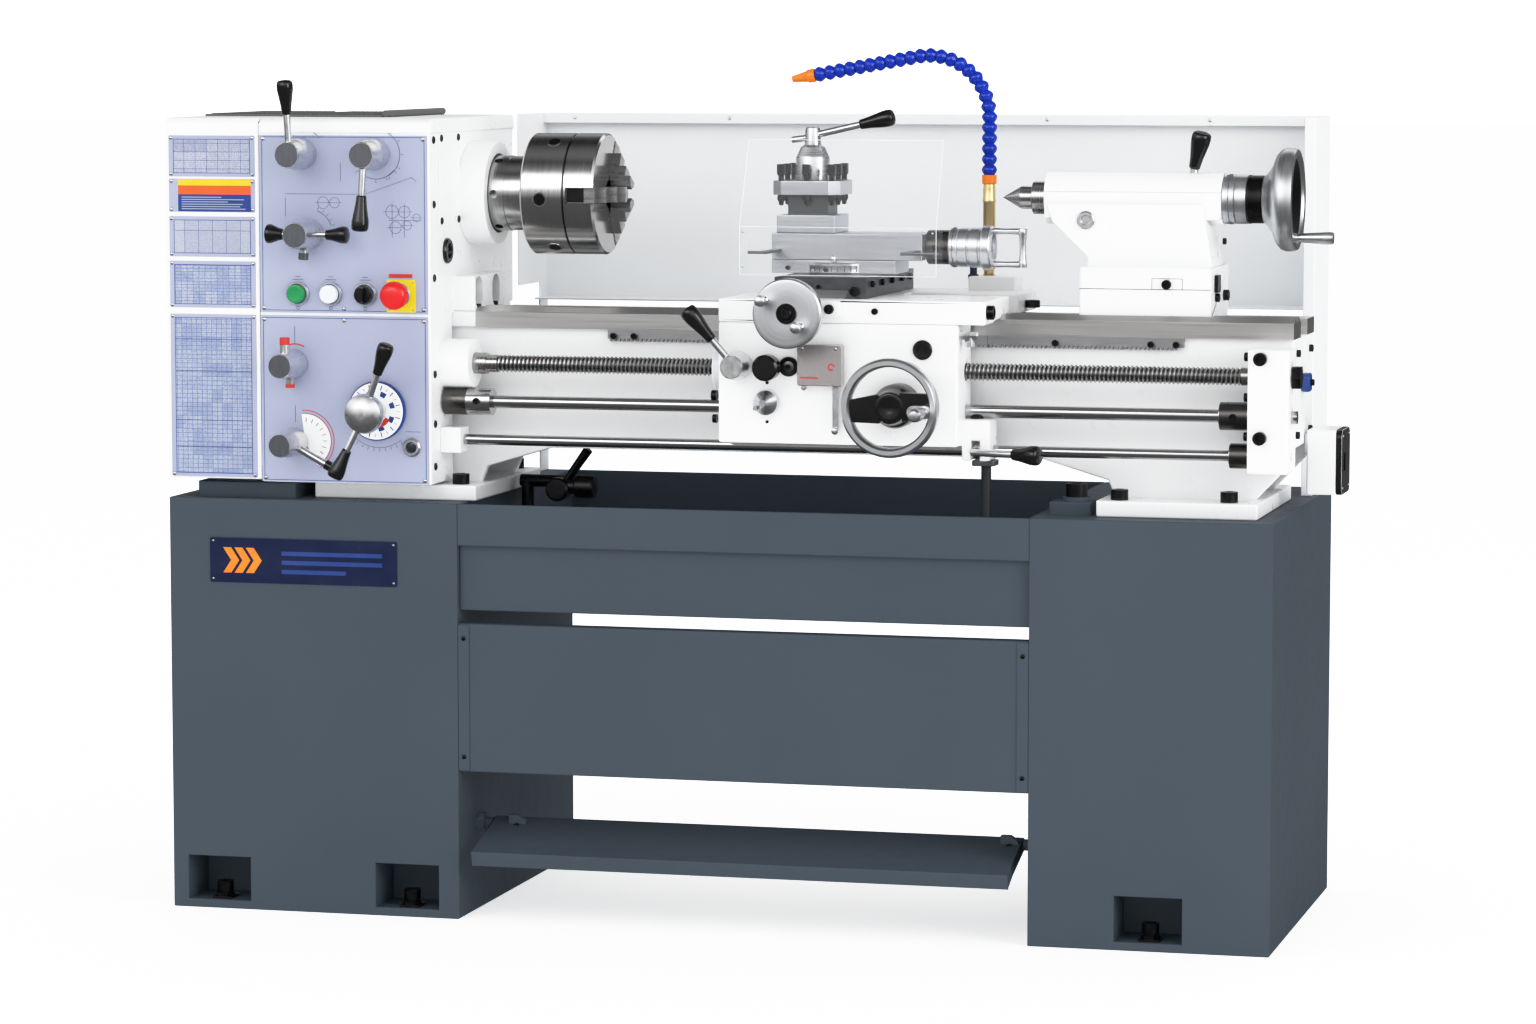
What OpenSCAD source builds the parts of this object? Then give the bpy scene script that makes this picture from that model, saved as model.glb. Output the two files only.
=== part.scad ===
// Gap-free bench-height engine lathe on two sheet-metal cabinets.
// X runs along the bed towards the tailstock, Y towards the back, Z up.
// The origin is on the floor at the centre of the four outer anchor holes.

/* [Stand] */
// Depth of both cabinets, front to back
stand_depth = 560; // [500:5:640]
// Height of both cabinets
cabinet_h = 590; // [500:2:710]
// Width of the left cabinet, under the headstock
left_cabinet_w = 430; // [420:5:520]
// Width of the right cabinet
right_cabinet_w = 334; // [300:2:400]
// Free width between the cabinets
tray_span = 818; // [760:2:1000]
// Sheet thickness of cabinets, tray and covers
sheet = 3; // [2:0.5:4]
// Distance of the outer left anchor hole from the cabinet's edge
anchor_inset = 70; // [60:1:80]
// Distance of the anchor holes from the front and back faces
anchor_depth = 58; // [54:1:62]
// Radius of an anchor hole
anchor_r = 9; // [7:0.5:10]

/* [Bed] */
// Height of the spindle axis above the cabinets
spindle_rise = 429; // [425:1:450]
// Largest radius that swings over the bed
swing_r = 165; // [150:1:180]
// Distance from the spindle axis to the cabinets' front face
spindle_setback = 195; // [190:1:215]
// Width over both ways
bed_w = 190; // [185:1:228]
// Reach of the bed beyond the right cabinet
bed_overhang = 10; // [0:1:20]
// Height of the polished side of a way
way_h = 22; // [18:1:28]

/* [Headstock] */
// Width of the headstock
head_w = 252; // [250:1:290]
// Width of the hinged end cover
end_cover_w = 140; // [138:1:160]
// Depth of the headstock, front to back
head_depth = 385; // [380:1:400]
// Height of the headstock body above the spindle axis
head_above = 88; // [84:1:110]
// Thickness of the lid
lid_h = 21; // [16:1:26]
// Radius of the bore through the spindle
spindle_bore_r = 19; // [16:0.5:20]
// Outer radius of the spindle
spindle_r = 30; // [28:0.5:34]
// Radius of the spindle's camlock flange
flange_r = 54; // [50:1:58]

/* [Chuck] */
// Radius of the chuck body
chuck_r = 86; // [80:1:90]
// Length of the chuck body
chuck_len = 108; // [95:1:115]
// Radius of the chuck's through hole
chuck_bore_r = 20; // [20:0.5:24]
// Width of a chuck jaw
jaw_w = 22; // [18:1:26]

/* [Rods] */
// Radius of the leadscrew
leadscrew_r = 12.5; // [11:0.5:15]
// Radius of the feed rod
feed_rod_r = 9; // [8:0.5:10]
// Radius of the control rod
control_rod_r = 7.5; // [7:0.5:9]
// Distance of the rods in front of the bed
rod_setback = 40; // [37:1:45]
// Depth of the leadscrew axis below the ways
leadscrew_drop = 70; // [62:1:76]
// Vertical step from one rod to the next
rod_step = 54; // [50:1:58]

/* [Carriage] */
// Distance from the headstock to the saddle
saddle_gap = 415.5; // [390:0.5:430]
// Length of the saddle along the bed
saddle_len = 376; // [360:1:400]
// Width of the apron
apron_w = 338; // [330:1:350]
// Height of the apron
apron_h = 167; // [160:1:175]
// Width of the cross slide
cross_slide_w = 131; // [120:1:136]
// Length of the cross slide
cross_slide_len = 290; // [280:1:310]
// Radius of the carriage handwheel
carriage_wheel_r = 68; // [60:1:72]
// Radius of the cross-slide handwheel
cross_wheel_r = 46; // [40:1:48]
// Length of the top slide
top_slide_len = 216; // [200:1:225]
// Width of the top slide
top_slide_w = 84; // [76:1:90]
// Width over the tool post's top plate
tool_post_w = 98; // [90:1:104]

/* [Tailstock] */
// Distance from the tailstock's base to the bed's end
tailstock_gap = 117.5; // [90:0.5:120]
// Length of the tailstock's base
tailstock_len = 183; // [176:1:190]
// Radius of the quill
quill_r = 23; // [20:0.5:27.5]
// Radius of the tailstock handwheel
tailstock_wheel_r = 71; // [60:1:78]

/* [Fits] */
// Radial clearance of a turning fit
turn_gap = 0.05; // [0.03:0.01:0.09]
// Clearance between sliding faces
slide_gap = 0.2; // [0.1:0.05:0.3]
// Clearance of a loose hole around a shaft or screw
loose_gap = 0.3; // [0.2:0.05:0.5]

/* [Hidden] */
$fn = 64;

// Stand
spindle_z = cabinet_h + spindle_rise;
anchor_dx = left_cabinet_w - anchor_inset + tray_span + right_cabinet_w / 2;
left_x = -anchor_dx / 2 - anchor_inset;
tray_x = left_x + left_cabinet_w;
right_x = tray_x + tray_span;
right_end_x = right_x + right_cabinet_w;
front_y = -stand_depth / 2;
back_y = stand_depth / 2;
anchor_y = stand_depth / 2 - anchor_depth;
inner_anchor_x = tray_x - 77.5;
right_anchor_x = right_x + right_cabinet_w / 2;
pocket_w = 94;
pocket_top = 75;
pocket_floor = 12;
pocket_depth = 80;
treadle_y = front_y + 92;
treadle_z = 125;
treadle_shaft_r = 8;

// Bed and headstock
axis_y = front_y + spindle_setback;
way_z = spindle_z - swing_r;
head_x = left_x + end_cover_w + 1;
head_end_x = head_x + head_w;
bed_x = head_x + 30;
bed_end_x = right_end_x + bed_overhang;
bed_front = axis_y - bed_w / 2;
bed_back = axis_y + bed_w / 2;
foot_h = 22;
foot_top = cabinet_h + foot_h;
foot_front = axis_y - 155;
foot_back = axis_y + 155;
head_top = spindle_z + head_above;
head_bottom = foot_top + 3;
head_back = front_y + head_depth;
wall_front = bed_front + 8;
wall_back = bed_back - 8;
wall_t = 14;
rail_w = 64;
rail_t = 40;
bed_bottom = way_z - 192;
left_foot_x = [head_x + 64, head_end_x + 52];
right_foot_x = [bed_end_x - 260, bed_end_x - 38];

// Spindle line
cap_t = 40;
cap_r = flange_r + 19.5;
flange_x = head_end_x + 22;
flange_end = head_end_x + 62;
chuck_x = flange_end + 34;
chuck_face = chuck_x + chuck_len;
spindle_tail = head_x - 54;
bearing_r = spindle_r + 22;
casting_wall = 12;

// Rods
rod_y = bed_front - rod_setback;
leadscrew_z = way_z - leadscrew_drop;
feed_z = leadscrew_z - rod_step;
control_z = feed_z - rod_step;
bracket_x = bed_end_x - 52;
bracket_w = 56;

// Carriage
saddle_x = head_end_x + saddle_gap;
saddle_top = way_z + 29;
saddle_front = front_y + 5;
saddle_end = saddle_x + saddle_len;
apron_end = saddle_x + apron_w;
apron_bottom = way_z - 3 - apron_h;
apron_back = bed_front - 10;
cross_x = saddle_x + 71;
cross_mid = cross_x + cross_slide_w / 2;
cross_front = saddle_front + 35;
cross_top = saddle_top + 29;
pivot_x = cross_mid - 6;
pivot_y = axis_y - 15;
swivel_top = cross_top + 19;
slide_x = pivot_x - 90;
slide_end = slide_x + top_slide_len;
slide_top = swivel_top + 37;
compound_z = swivel_top + 18;
post_x = slide_x + tool_post_w / 2;
post_y = pivot_y + 5;
screw_z = saddle_top - 16;
carriage_wheel_x = apron_end - 81;
carriage_wheel_z = apron_bottom + 57;

// Tailstock
tailstock_x = bed_end_x - tailstock_gap - tailstock_len;
tail_end = tailstock_x + tailstock_len;
barrel_x = tailstock_x - 58;
barrel_end = tail_end + 6;
barrel_r = 36;
quill_x = barrel_x - 21;

// End cover drive
gear_module = 2;
gear_t = 14;
gear_x = head_x - 44;
stud_teeth = 30;
idler_teeth = 80;
screw_teeth = 40;
stud_y = axis_y - 70;
stud_z = spindle_z - 84;
input_y = front_y + 60;
input_z = foot_top + 108;
pulley_x = head_x - 34;
pulley_w = 26;
belt_y = axis_y + 115;
pulley_z = spindle_z - 75;
motor_z = cabinet_h - 180;
pulley_r = 66;
motor_pulley_r = 40;
groove_depth = 9;

// ---------- shared shapes ----------
module box(x, y, z) {
    translate([x[0], y[0], z[0]]) cube([x[1] - x[0], y[1] - y[0], z[1] - z[0]]);
}
module rod_x(x, y, z, r) {
    translate([x[0], y, z]) rotate([0, 90, 0]) cylinder(h = x[1] - x[0], r = r);
}
module rod_y(x, y, z, r) {
    translate([x, y[1], z]) rotate([90, 0, 0]) cylinder(h = y[1] - y[0], r = r);
}
module rod_z(x, y, z, r) {
    translate([x, y, z[0]]) cylinder(h = z[1] - z[0], r = r);
}
// A turned shape along X from points [distance, radius]
module turned_x(x, y, z, points) {
    translate([x, y, z]) rotate([0, 90, 0]) rotate_extrude() polygon([for (p = points) [p[1], p[0]]]);
}
// A turned shape along -Y, towards the operator
module turned_front(x, y, z, points) {
    translate([x, y, z]) rotate([90, 0, 0]) rotate_extrude() polygon([for (p = points) [p[1], p[0]]]);
}
module turned_z(x, y, z, points) {
    translate([x, y, z]) rotate_extrude() polygon([for (p = points) [p[1], p[0]]]);
}
// Socket-head screw along Z with the underside of its head at the origin
module socket_screw(r, shank) {
    head_r = r * 1.5;
    head_h = r * 1.8;
    difference() {
        union() {
            cylinder(h = head_h, r = head_r);
            translate([0, 0, -shank]) cylinder(h = shank + 1, r = r);
        }
        translate([0, 0, head_h * 0.45]) cylinder(h = head_h, r = r * 0.9, $fn = 6);
    }
}
// Rounded handle grip along Z, from its narrow end
module grip(len, r) {
    rotate_extrude() polygon([
        [0, 0], [r * 0.55, 0], [r * 0.62, len * 0.12], [r * 0.8, len * 0.35],
        [r, len * 0.72], [r * 0.95, len * 0.88], [r * 0.72, len * 0.97], [0, len]
    ]);
}
// Lever arm with a grip, leaving the origin along Z
module arm_with_grip(reach, arm_r, grip_len, grip_r) {
    cylinder(h = reach - grip_len + 2, r = arm_r);
    translate([0, 0, reach - grip_len]) grip(grip_len, grip_r);
}
function involute(r, base) = (180 / PI) * tan(acos(min(1, base / r))) - acos(min(1, base / r));
// Involute gear along X; tooth 0 points along +Y when phase is 0
module gear(teeth, thick, phase, backlash = 0.14) {
    pitch_r = gear_module * teeth / 2;
    base_r = pitch_r * cos(20);
    root_r = pitch_r - 1.25 * gear_module;
    tip_r = pitch_r + 0.95 * gear_module;
    half_pitch = 90 / teeth - backlash * 90 / (PI * pitch_r);
    low_r = max(base_r, root_r + 0.2);
    radii = [low_r, (low_r + pitch_r) / 2, pitch_r, (pitch_r + tip_r) / 2, tip_r];
    half = [for (r = radii) half_pitch + involute(pitch_r, base_r) - involute(r, base_r)];
    flank = [for (i = [0:4]) [radii[i], -half[i]]];
    other = [for (i = [4:-1:0]) [radii[i], half[i]]];
    corners = [for (t = [0:teeth - 1]) for (p = concat([[root_r, -half[0] * 1.1]], flank, other,
        [[root_r, half[0] * 1.1]])) let (a = p[1] + 360 * t / teeth + phase) [p[0] * cos(a), p[0] * sin(a)]];
    rotate([90, 0, 90]) linear_extrude(thick) polygon(corners);
}
// Phase that puts gear 2 in mesh with gear 1, along the line at angle a from 1 to 2
function mesh_phase(a, teeth1, phase1, teeth2) =
    a + 180 - (0.5 - (a - phase1) * teeth1 / 360) * 360 / teeth2;
module dovetail(w, h, grow = 0) {
    polygon([
        [-w / 2 + h / 2 - grow, -0.01], [w / 2 - h / 2 + grow, -0.01],
        [w / 2 + grow, h + grow], [-w / 2 - grow, h + grow]
    ]);
}

// ---------- stand ----------
// Levelling pocket cut into a cabinet's front; the back ones are mirrored
module pocket_shell(x) {
    box([x - pocket_w / 2 - sheet, x + pocket_w / 2 + sheet],
        [front_y, front_y + pocket_depth + sheet], [0, pocket_top + sheet]);
}
module pocket_space(x) {
    box([x - pocket_w / 2, x + pocket_w / 2], [front_y - 1, front_y + pocket_depth],
        [pocket_floor, pocket_top]);
    rod_z(x, front_y + anchor_depth, [-1, pocket_floor + 1], anchor_r);
    rod_z(x, front_y + 24, [-1, pocket_floor + 1], levelling_r + loose_gap);
}
levelling_r = 8;
module cabinet_shell(x, pockets) {
    top_t = 6;
    rim = 30;
    difference() {
        union() {
            difference() {
                box(x, [front_y, back_y], [0, cabinet_h]);
                box([x[0] + sheet, x[1] - sheet], [front_y + sheet, back_y - sheet],
                    [sheet, cabinet_h - top_t]);
                box([x[0] + rim, x[1] - rim], [front_y + rim, back_y - rim], [-1, sheet + 1]);
            }
            for (p = pockets) {
                pocket_shell(p);
                mirror([0, 1, 0]) pocket_shell(p);
            }
        }
        for (p = pockets) {
            pocket_space(p);
            mirror([0, 1, 0]) pocket_space(p);
        }
    }
}
// Bush that carries one end of the treadle's shaft
module treadle_bush(x) {
    difference() {
        rod_x(x, treadle_y, treadle_z, treadle_shaft_r + 7);
        rod_x([x[0] - 1, x[1] + 1], treadle_y, treadle_z, treadle_shaft_r + turn_gap);
    }
}
bush_len = 12;
belt_gap_x = [pulley_x - 16, head_x - 4];
belt_gap_y = [belt_y - 62, belt_y + 62];
module left_cabinet() {
    riser_x = [left_x + 36, head_x + 42];
    riser_y = [front_y + 22, head_back + 25];
    color("#4b5661") difference() {
        union() {
            cabinet_shell([left_x, tray_x], [-anchor_dx / 2, inner_anchor_x]);
            box(riser_x, riser_y, [cabinet_h - 1, foot_top]);
            treadle_bush([tray_x, tray_x + bush_len]);
        }
        box([belt_gap_x[0], belt_gap_x[1]], belt_gap_y, [cabinet_h - 20, foot_top + 1]);
        box([left_foot_x[0] - 1, left_foot_x[1] + 1], [foot_front - 1, foot_back + 1],
            [cabinet_h, foot_top + 1]);
        foot_holes(left_bolts, [cabinet_h - 20, cabinet_h + 1]);
    }
}
module right_cabinet() {
    lug_x = right_foot_x[0] - 34;
    color("#4b5661") difference() {
        union() {
            cabinet_shell([right_x, right_end_x], [right_anchor_x]);
            box([lug_x - 34, lug_x + 24], [axis_y - 140, axis_y - 92], [cabinet_h - 1, cabinet_h + 18]);
            rod_z(lug_x, axis_y - 116, [cabinet_h + 17, cabinet_h + 24], 20);
            treadle_bush([right_x - bush_len, right_x]);
        }
        foot_holes(right_bolts, [cabinet_h - 20, cabinet_h + 1]);
        rod_z(lug_x, axis_y - 116, [cabinet_h + 2, cabinet_h + 25], 10 + loose_gap);
    }
}
// Trough between the cabinets, and the front panel below it
module chip_tray() {
    floor_z = cabinet_h - 110;
    skirt_z = cabinet_h - 151;
    lip_z = cabinet_h - 59;
    lip_step = 10;
    panel_z = [skirt_z - 228, skirt_z - 18];
    flange = 25;
    span = [tray_x, right_x];
    color("#4b5661") {
        difference() {
            union() {
                box(span, [front_y, back_y], [lip_z, cabinet_h]);
                box(span, [front_y + lip_step, back_y - lip_step], [skirt_z, lip_z + 1]);
            }
            box([span[0] + sheet, span[1] - sheet],
                [front_y + lip_step + sheet, back_y - lip_step - sheet], [floor_z, cabinet_h + 1]);
            box([span[0] + sheet, span[1] - sheet],
                [front_y + sheet, back_y - sheet], [lip_z + sheet, cabinet_h + 1]);
            box([span[0] + sheet, span[1] - sheet],
                [front_y + lip_step + sheet, back_y - lip_step - sheet], [skirt_z - 1, floor_z - sheet]);
        }
        difference() {
            box(span, [front_y + 2, front_y + 2 + flange], panel_z);
            box([span[0] + sheet, span[1] - sheet], [front_y + 2 + sheet, front_y + flange + 3],
                [panel_z[0] + sheet, panel_z[1] - sheet]);
        }
    }
}
module brake_treadle() {
    board = [tray_x + bush_len + 12, right_x - bush_len - 12];
    shaft = [tray_x + slide_gap, right_x - slide_gap];
    color("#434d57") {
        rod_x(shaft, treadle_y, treadle_z, treadle_shaft_r);
        rotate_about(treadle_y, treadle_z, 16) {
            box(board, [treadle_y - 112, treadle_y + 8], [treadle_z + 4, treadle_z + 8]);
            box(board, [treadle_y - 116, treadle_y - 112], [treadle_z - 14, treadle_z + 8]);
            for (x = [board[0], board[1] - 6])
                box([x, x + 6], [treadle_y - 112, treadle_y + 8], [treadle_z - 10, treadle_z + 5]);
        }
    }
}
// Tilts its children about a line along X through y and z
module rotate_about(y, z, angle) {
    translate([0, y, z]) rotate([angle, 0, 0]) translate([0, -y, -z]) children();
}

// ---------- bed ----------
bolt_r = 8;
// The left foot has no front bolt under the gearbox
left_bolts = [
    [left_foot_x[1] - 30, foot_front + 26], [left_foot_x[1] - 30, foot_back - 26],
    [left_foot_x[0] + 27, foot_back - 26]
];
right_bolts = [
    for (x = [right_foot_x[0] + 28, right_foot_x[1] - 43]) for (y = [foot_front + 26, foot_back - 26]) [x, y]
];
module foot_holes(places, z) {
    for (p = places) rod_z(p[0], p[1], z, bolt_r + loose_gap);
}
carriage_v = bed_front + 16;
tailstock_v = bed_front + 48;
module along_bed(x) {
    translate([x[0], 0, way_z]) rotate([90, 0, 90]) linear_extrude(x[1] - x[0]) children();
}
module v_profile(y, grow = 0) {
    half = 8;
    height = 7;
    polygon([[y - half - grow, -grow], [y - half - grow, 0], [y - grow / 2, height + grow],
        [y + grow / 2, height + grow], [y + half + grow, 0], [y + half + grow, -grow]]);
}
module bed_side(y) {
    arch = 90;
    side = [
        [bed_x, way_z - rail_t + 1], [bed_x, bed_bottom],
        [left_foot_x[0], bed_bottom], [left_foot_x[0] + 14, foot_top - 1],
        [left_foot_x[1] - 14, foot_top - 1], [left_foot_x[1] - 4, foot_top + 22],
        [left_foot_x[1] + arch, bed_bottom], [right_foot_x[0] - arch, bed_bottom],
        [right_foot_x[0] + 4, foot_top + 22], [right_foot_x[0] + 14, foot_top - 1],
        [right_foot_x[1] - 14, foot_top - 1], [bed_end_x, bed_bottom + 4],
        [bed_end_x, way_z - rail_t + 1]
    ];
    translate([0, y + wall_t, 0]) rotate([90, 0, 0]) linear_extrude(wall_t) polygon(side);
}
module bed() {
    ribs = 7;
    rib_t = 16;
    color("white") {
        difference() {
            union() {
                along_bed([bed_x, bed_end_x]) {
                    translate([bed_front, -way_h]) square([rail_w, way_h]);
                    translate([wall_front, -rail_t]) square([rail_w - 8, rail_t]);
                    translate([bed_back - rail_w, -way_h]) square([rail_w, way_h]);
                    translate([wall_back - rail_w + 8, -rail_t]) square([rail_w - 8, rail_t]);
                }
                along_bed([head_end_x + head_flange_t + 1, bed_end_x]) {
                    v_profile(carriage_v);
                    v_profile(tailstock_v);
                }
                bed_side(wall_front);
                bed_side(wall_back - wall_t);
                for (i = [0:ribs - 1]) {
                    x = bed_x + i * (bed_end_x - bed_x - rib_t) / (ribs - 1);
                    box([x, x + rib_t], [wall_front + 1, wall_back - 1], [bed_bottom + 20, way_z - way_h]);
                }
                for (x = [left_foot_x, right_foot_x])
                    box(x, [foot_front, foot_back], [cabinet_h, foot_top]);
            }
            foot_holes(left_bolts, [cabinet_h - 1, foot_top + 1]);
            foot_holes(right_bolts, [cabinet_h - 1, foot_top + 1]);
            for (s = rack_screws()) rod_y(s, [bed_front, wall_front + 13], rack_z, 3 + loose_gap);
        }
    }
}
rack_x = [head_end_x + 229, head_end_x + 1048];
rack_z = way_z - 31;
function rack_screws() = [rack_x[0] + 9, rack_x[0] + 39, rack_x[1] - 178, rack_x[1] - 45, rack_x[1] - 10];
module rack() {
    pitch = PI * gear_module;
    thick = 8;
    top = way_z - way_h;
    root = rack_z - 4;
    count = floor((rack_x[1] - rack_x[0]) / pitch) - 1;
    start = rack_x[0] + 2;
    outline = concat([[rack_x[0], top], [rack_x[0], root]],
        [for (i = [0:count - 1]) for (p = [[0, 0], [1, -4], [2.4, -4], [3.4, 0]])
            [start + i * pitch + p[0], root + p[1]]],
        [[rack_x[1], root], [rack_x[1], top]]);
    color("silver") difference() {
        translate([0, wall_front, 0]) rotate([90, 0, 0]) linear_extrude(thick) polygon(outline);
        for (s = rack_screws()) rod_y(s, [wall_front - thick - 1, wall_front + 1], rack_z, 3 + loose_gap);
    }
}
module socket_bolts() {
    color("#222222") {
        for (x = [-anchor_dx / 2, inner_anchor_x, right_anchor_x]) for (side = [-1, 1])
            translate([x, side * (back_y - 24), pocket_floor + 10]) {
                socket_screw(levelling_r, pocket_floor + 10);
                translate([0, 0, -10]) difference() {
                    cylinder(h = 8, r = levelling_r * 1.7, $fn = 6);
                    translate([0, 0, -1]) cylinder(h = 10, r = levelling_r + loose_gap);
                }
            }
        for (p = concat(left_bolts, right_bolts))
            translate([p[0], p[1], foot_top]) socket_screw(bolt_r, foot_h + 14);
        for (s = rack_screws())
            translate([s, wall_front - 8, rack_z]) rotate([90, 0, 0]) socket_screw(3, 18);
        for (p = base_bolts()) translate([p[0], p[1], way_z + 16]) socket_screw(7, 15);
        for (z = front_bracket_bolts())
            translate([bracket_x + 18, bracket_front, z]) rotate([90, 0, 0]) socket_screw(6, 30);
        translate([right_foot_x[0] - 34, axis_y - 116, cabinet_h + 24]) socket_screw(10, 20);
    }
}

// ---------- headstock ----------
function base_bolts() = [[head_end_x + 14, axis_y - 68], [head_end_x + 14, axis_y + 10]];
panel_y = front_y - 2;
lever_shaft_r = 8;
// Lever and button centres on the front panel, [x from the headstock's left side, height]
speed_left = [head_x + 65, spindle_z + 59];
speed_right = [head_x + 174, spindle_z + 59];
range_at = [head_x + 75, spindle_z - 53];
feed_at = [head_x + 51, foot_top + 171];
thread_at = [head_x + 51, foot_top + 60];
gearbox_at = [head_x + 175, foot_top + 107];
button_z = spindle_z - 137;
start_at = [head_x + 57, button_z];
jog_at = [head_x + 106, button_z];
selector_at = [head_x + 157, button_z];
stop_at = [head_x + 207, button_z];
lever_places = [speed_left, speed_right, range_at, feed_at, thread_at, gearbox_at];
button_places = [start_at, jog_at, selector_at, stop_at];
button_stem_r = 9;
bezel_r = 16.5;
module panel_holes(y) {
    for (p = lever_places) rod_y(p[0], y, p[1], lever_shaft_r + turn_gap);
    for (p = button_places) rod_y(p[0], y, p[1], button_stem_r + turn_gap);
}
hinge_x = head_x - 2;
hinge_y = head_back + 9;
hinge_pin_r = 4;
head_flange_t = 31;
hinge_z = [head_bottom + 70, head_top - 90];
module headstock() {
    gearbox_back = bed_front - 2;
    pocket_r = 15;
    color("white") {
        difference() {
            union() {
                box([head_x, head_end_x], [front_y, gearbox_back], [head_bottom, head_top]);
                box([head_x, head_end_x], [gearbox_back - 1, head_back], [way_z, head_top]);
                box([head_end_x - 1, head_end_x + head_flange_t], [bed_front + 6, axis_y + 80], [way_z, way_z + 50]);
                box([head_x, head_x + casting_wall], [gearbox_back - 1, wall_back], [way_z - 64, way_z + 1]);
                for (z = hinge_z) hinge_lug(z);
            }
            box([head_x + casting_wall, head_end_x - casting_wall],
                [front_y + casting_wall, gearbox_back - casting_wall],
                [head_bottom + casting_wall, head_top + 1]);
            box([head_x + casting_wall, head_end_x - casting_wall],
                [gearbox_back + casting_wall, head_back - casting_wall],
                [way_z + casting_wall, head_top + 1]);
            rod_x([head_x - 1, head_end_x + 1], axis_y, spindle_z, bearing_r + loose_gap);
            rod_x([head_x - 1, head_x + 28], stud_y, stud_z, stud_shaft_r + turn_gap);
            rod_x([head_x - 1, head_x + 28], input_y, input_z, stud_shaft_r + turn_gap);
            rod_x([head_x - 1, head_x + 28], belt_y, pulley_z, stud_shaft_r + turn_gap);
            rod_x([head_x - 1, head_x + 28], idler_at()[0], idler_at()[1], stud_shaft_r + turn_gap);
            for (r = [[leadscrew_z, leadscrew_r], [feed_z, feed_rod_r], [control_z, control_rod_r]])
                rod_x([head_end_x - 20, head_end_x + 1], rod_y, r[0], r[1] + turn_gap);
            for (p = base_bolts()) {
                box([p[0] - 11, p[0] + 40], [p[1] - pocket_r, p[1] + pocket_r], [way_z + 16, way_z + 40]);
                rod_z(p[0], p[1], [way_z - 1, way_z + 17], 7 + loose_gap);
            }
            panel_holes([front_y - 1, front_y + casting_wall + 1]);
        }
        lid();
    }
}
module lid() {
    chamfer = 7;
    overhang = 3;
    outline = [
        [front_y - overhang, head_top], [front_y - overhang, head_top + lid_h - chamfer],
        [front_y + chamfer, head_top + lid_h], [head_back - chamfer, head_top + lid_h],
        [head_back, head_top + lid_h - chamfer], [head_back, head_top]
    ];
    translate([head_x, 0, 0]) rotate([90, 0, 90]) linear_extrude(head_w + overhang) polygon(outline);
}
module hinge_lug(z) {
    box([head_x, head_x + 10], [head_back - 1, hinge_y + 8], [z - 12, z]);
    boss_r = hinge_pin_r + 4;
    box([hinge_x, head_x + 10], [hinge_y - boss_r, hinge_y + boss_r], [z - 12, z]);
    rod_z(hinge_x, hinge_y, [z - 12, z], boss_r);
    rod_z(hinge_x, hinge_y, [z - 1, z + 30], hinge_pin_r);
}
stud_shaft_r = 9;
module panel_plates() {
    split_z = foot_top + 241;
    margin = 3;
    color("#b9bcc9") difference() {
        for (z = [[head_bottom + 1, split_z - 2], [split_z + 2, head_top - 3]])
            box([head_x + 1, head_end_x - margin], [panel_y, front_y], z);
        panel_holes([panel_y - 1, front_y + 1]);
    }
    color("silver") for (p = button_places) difference() {
        rod_y(p[0], [panel_y - 5, panel_y], p[1], bezel_r);
        rod_y(p[0], [panel_y - 6, panel_y + 1], p[1], bezel_r - 2.4);
    }
}
module bearing_caps() {
    thrust = 14;
    color("white") {
        difference() {
            rod_x([head_end_x, head_end_x + cap_t], axis_y, spindle_z, cap_r);
            rod_x([head_end_x - 1, head_end_x + cap_t + 1], axis_y, spindle_z, flange_r + 2);
        }
        difference() {
            rod_x([head_end_x, head_end_x + 46], rod_y, leadscrew_z, 34);
            rod_x([head_end_x - 1, head_end_x + 47], rod_y, leadscrew_z, leadscrew_r + turn_gap);
            box([head_end_x - 1, head_end_x + 47], [bed_front - 3, 0], [leadscrew_z - 50, leadscrew_z + 50]);
        }
        difference() {
            box([head_end_x, head_end_x + 30], [rod_y - 20, rod_y + 20], [control_z - 18, control_z + 18]);
            rod_x([head_end_x - 1, head_end_x + 31], rod_y, control_z, control_rod_r + turn_gap);
        }
    }
    color("silver") for (x = [head_x, head_end_x - thrust - 4]) difference() {
        rod_x([x, x + thrust + 4], axis_y, spindle_z, bearing_r);
        rod_x([x - 1, x + thrust + 5], axis_y, spindle_z, spindle_r + turn_gap);
    }
}
guard_x = [head_end_x - 3, right_end_x - 8];
module splash_guard() {
    top = head_top + lid_h;
    return_y = [max(back_y - 145, head_back + 12), back_y];
    lip = 15;
    chute_z = way_z - 4;
    color("#f2f2f0") {
        box(guard_x, [back_y - sheet, back_y], [chute_z, top]);
        box(guard_x, [back_y - 22, back_y], [top - sheet, top]);
        box(guard_x, [back_y - 22, back_y - 22 + sheet], [top - lip, top]);
        box(guard_x, [back_y - 60, back_y], [chute_z, chute_z + sheet]);
        for (x = [guard_x[0], guard_x[1] - sheet]) {
            box([x, x + sheet], return_y, [x < 0 ? head_bottom + 260 : cabinet_h, top]);
            box([x, x + sheet], [back_y - 40, back_y], [cabinet_h, top]);
        }
        box([guard_x[1] - 16, guard_x[1]], [return_y[0], return_y[0] + sheet], [cabinet_h, top]);
    }
}
bracket_front = rod_y - 30;
function front_bracket_bolts() = [leadscrew_z + 26, control_z + rod_step / 2];
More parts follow.
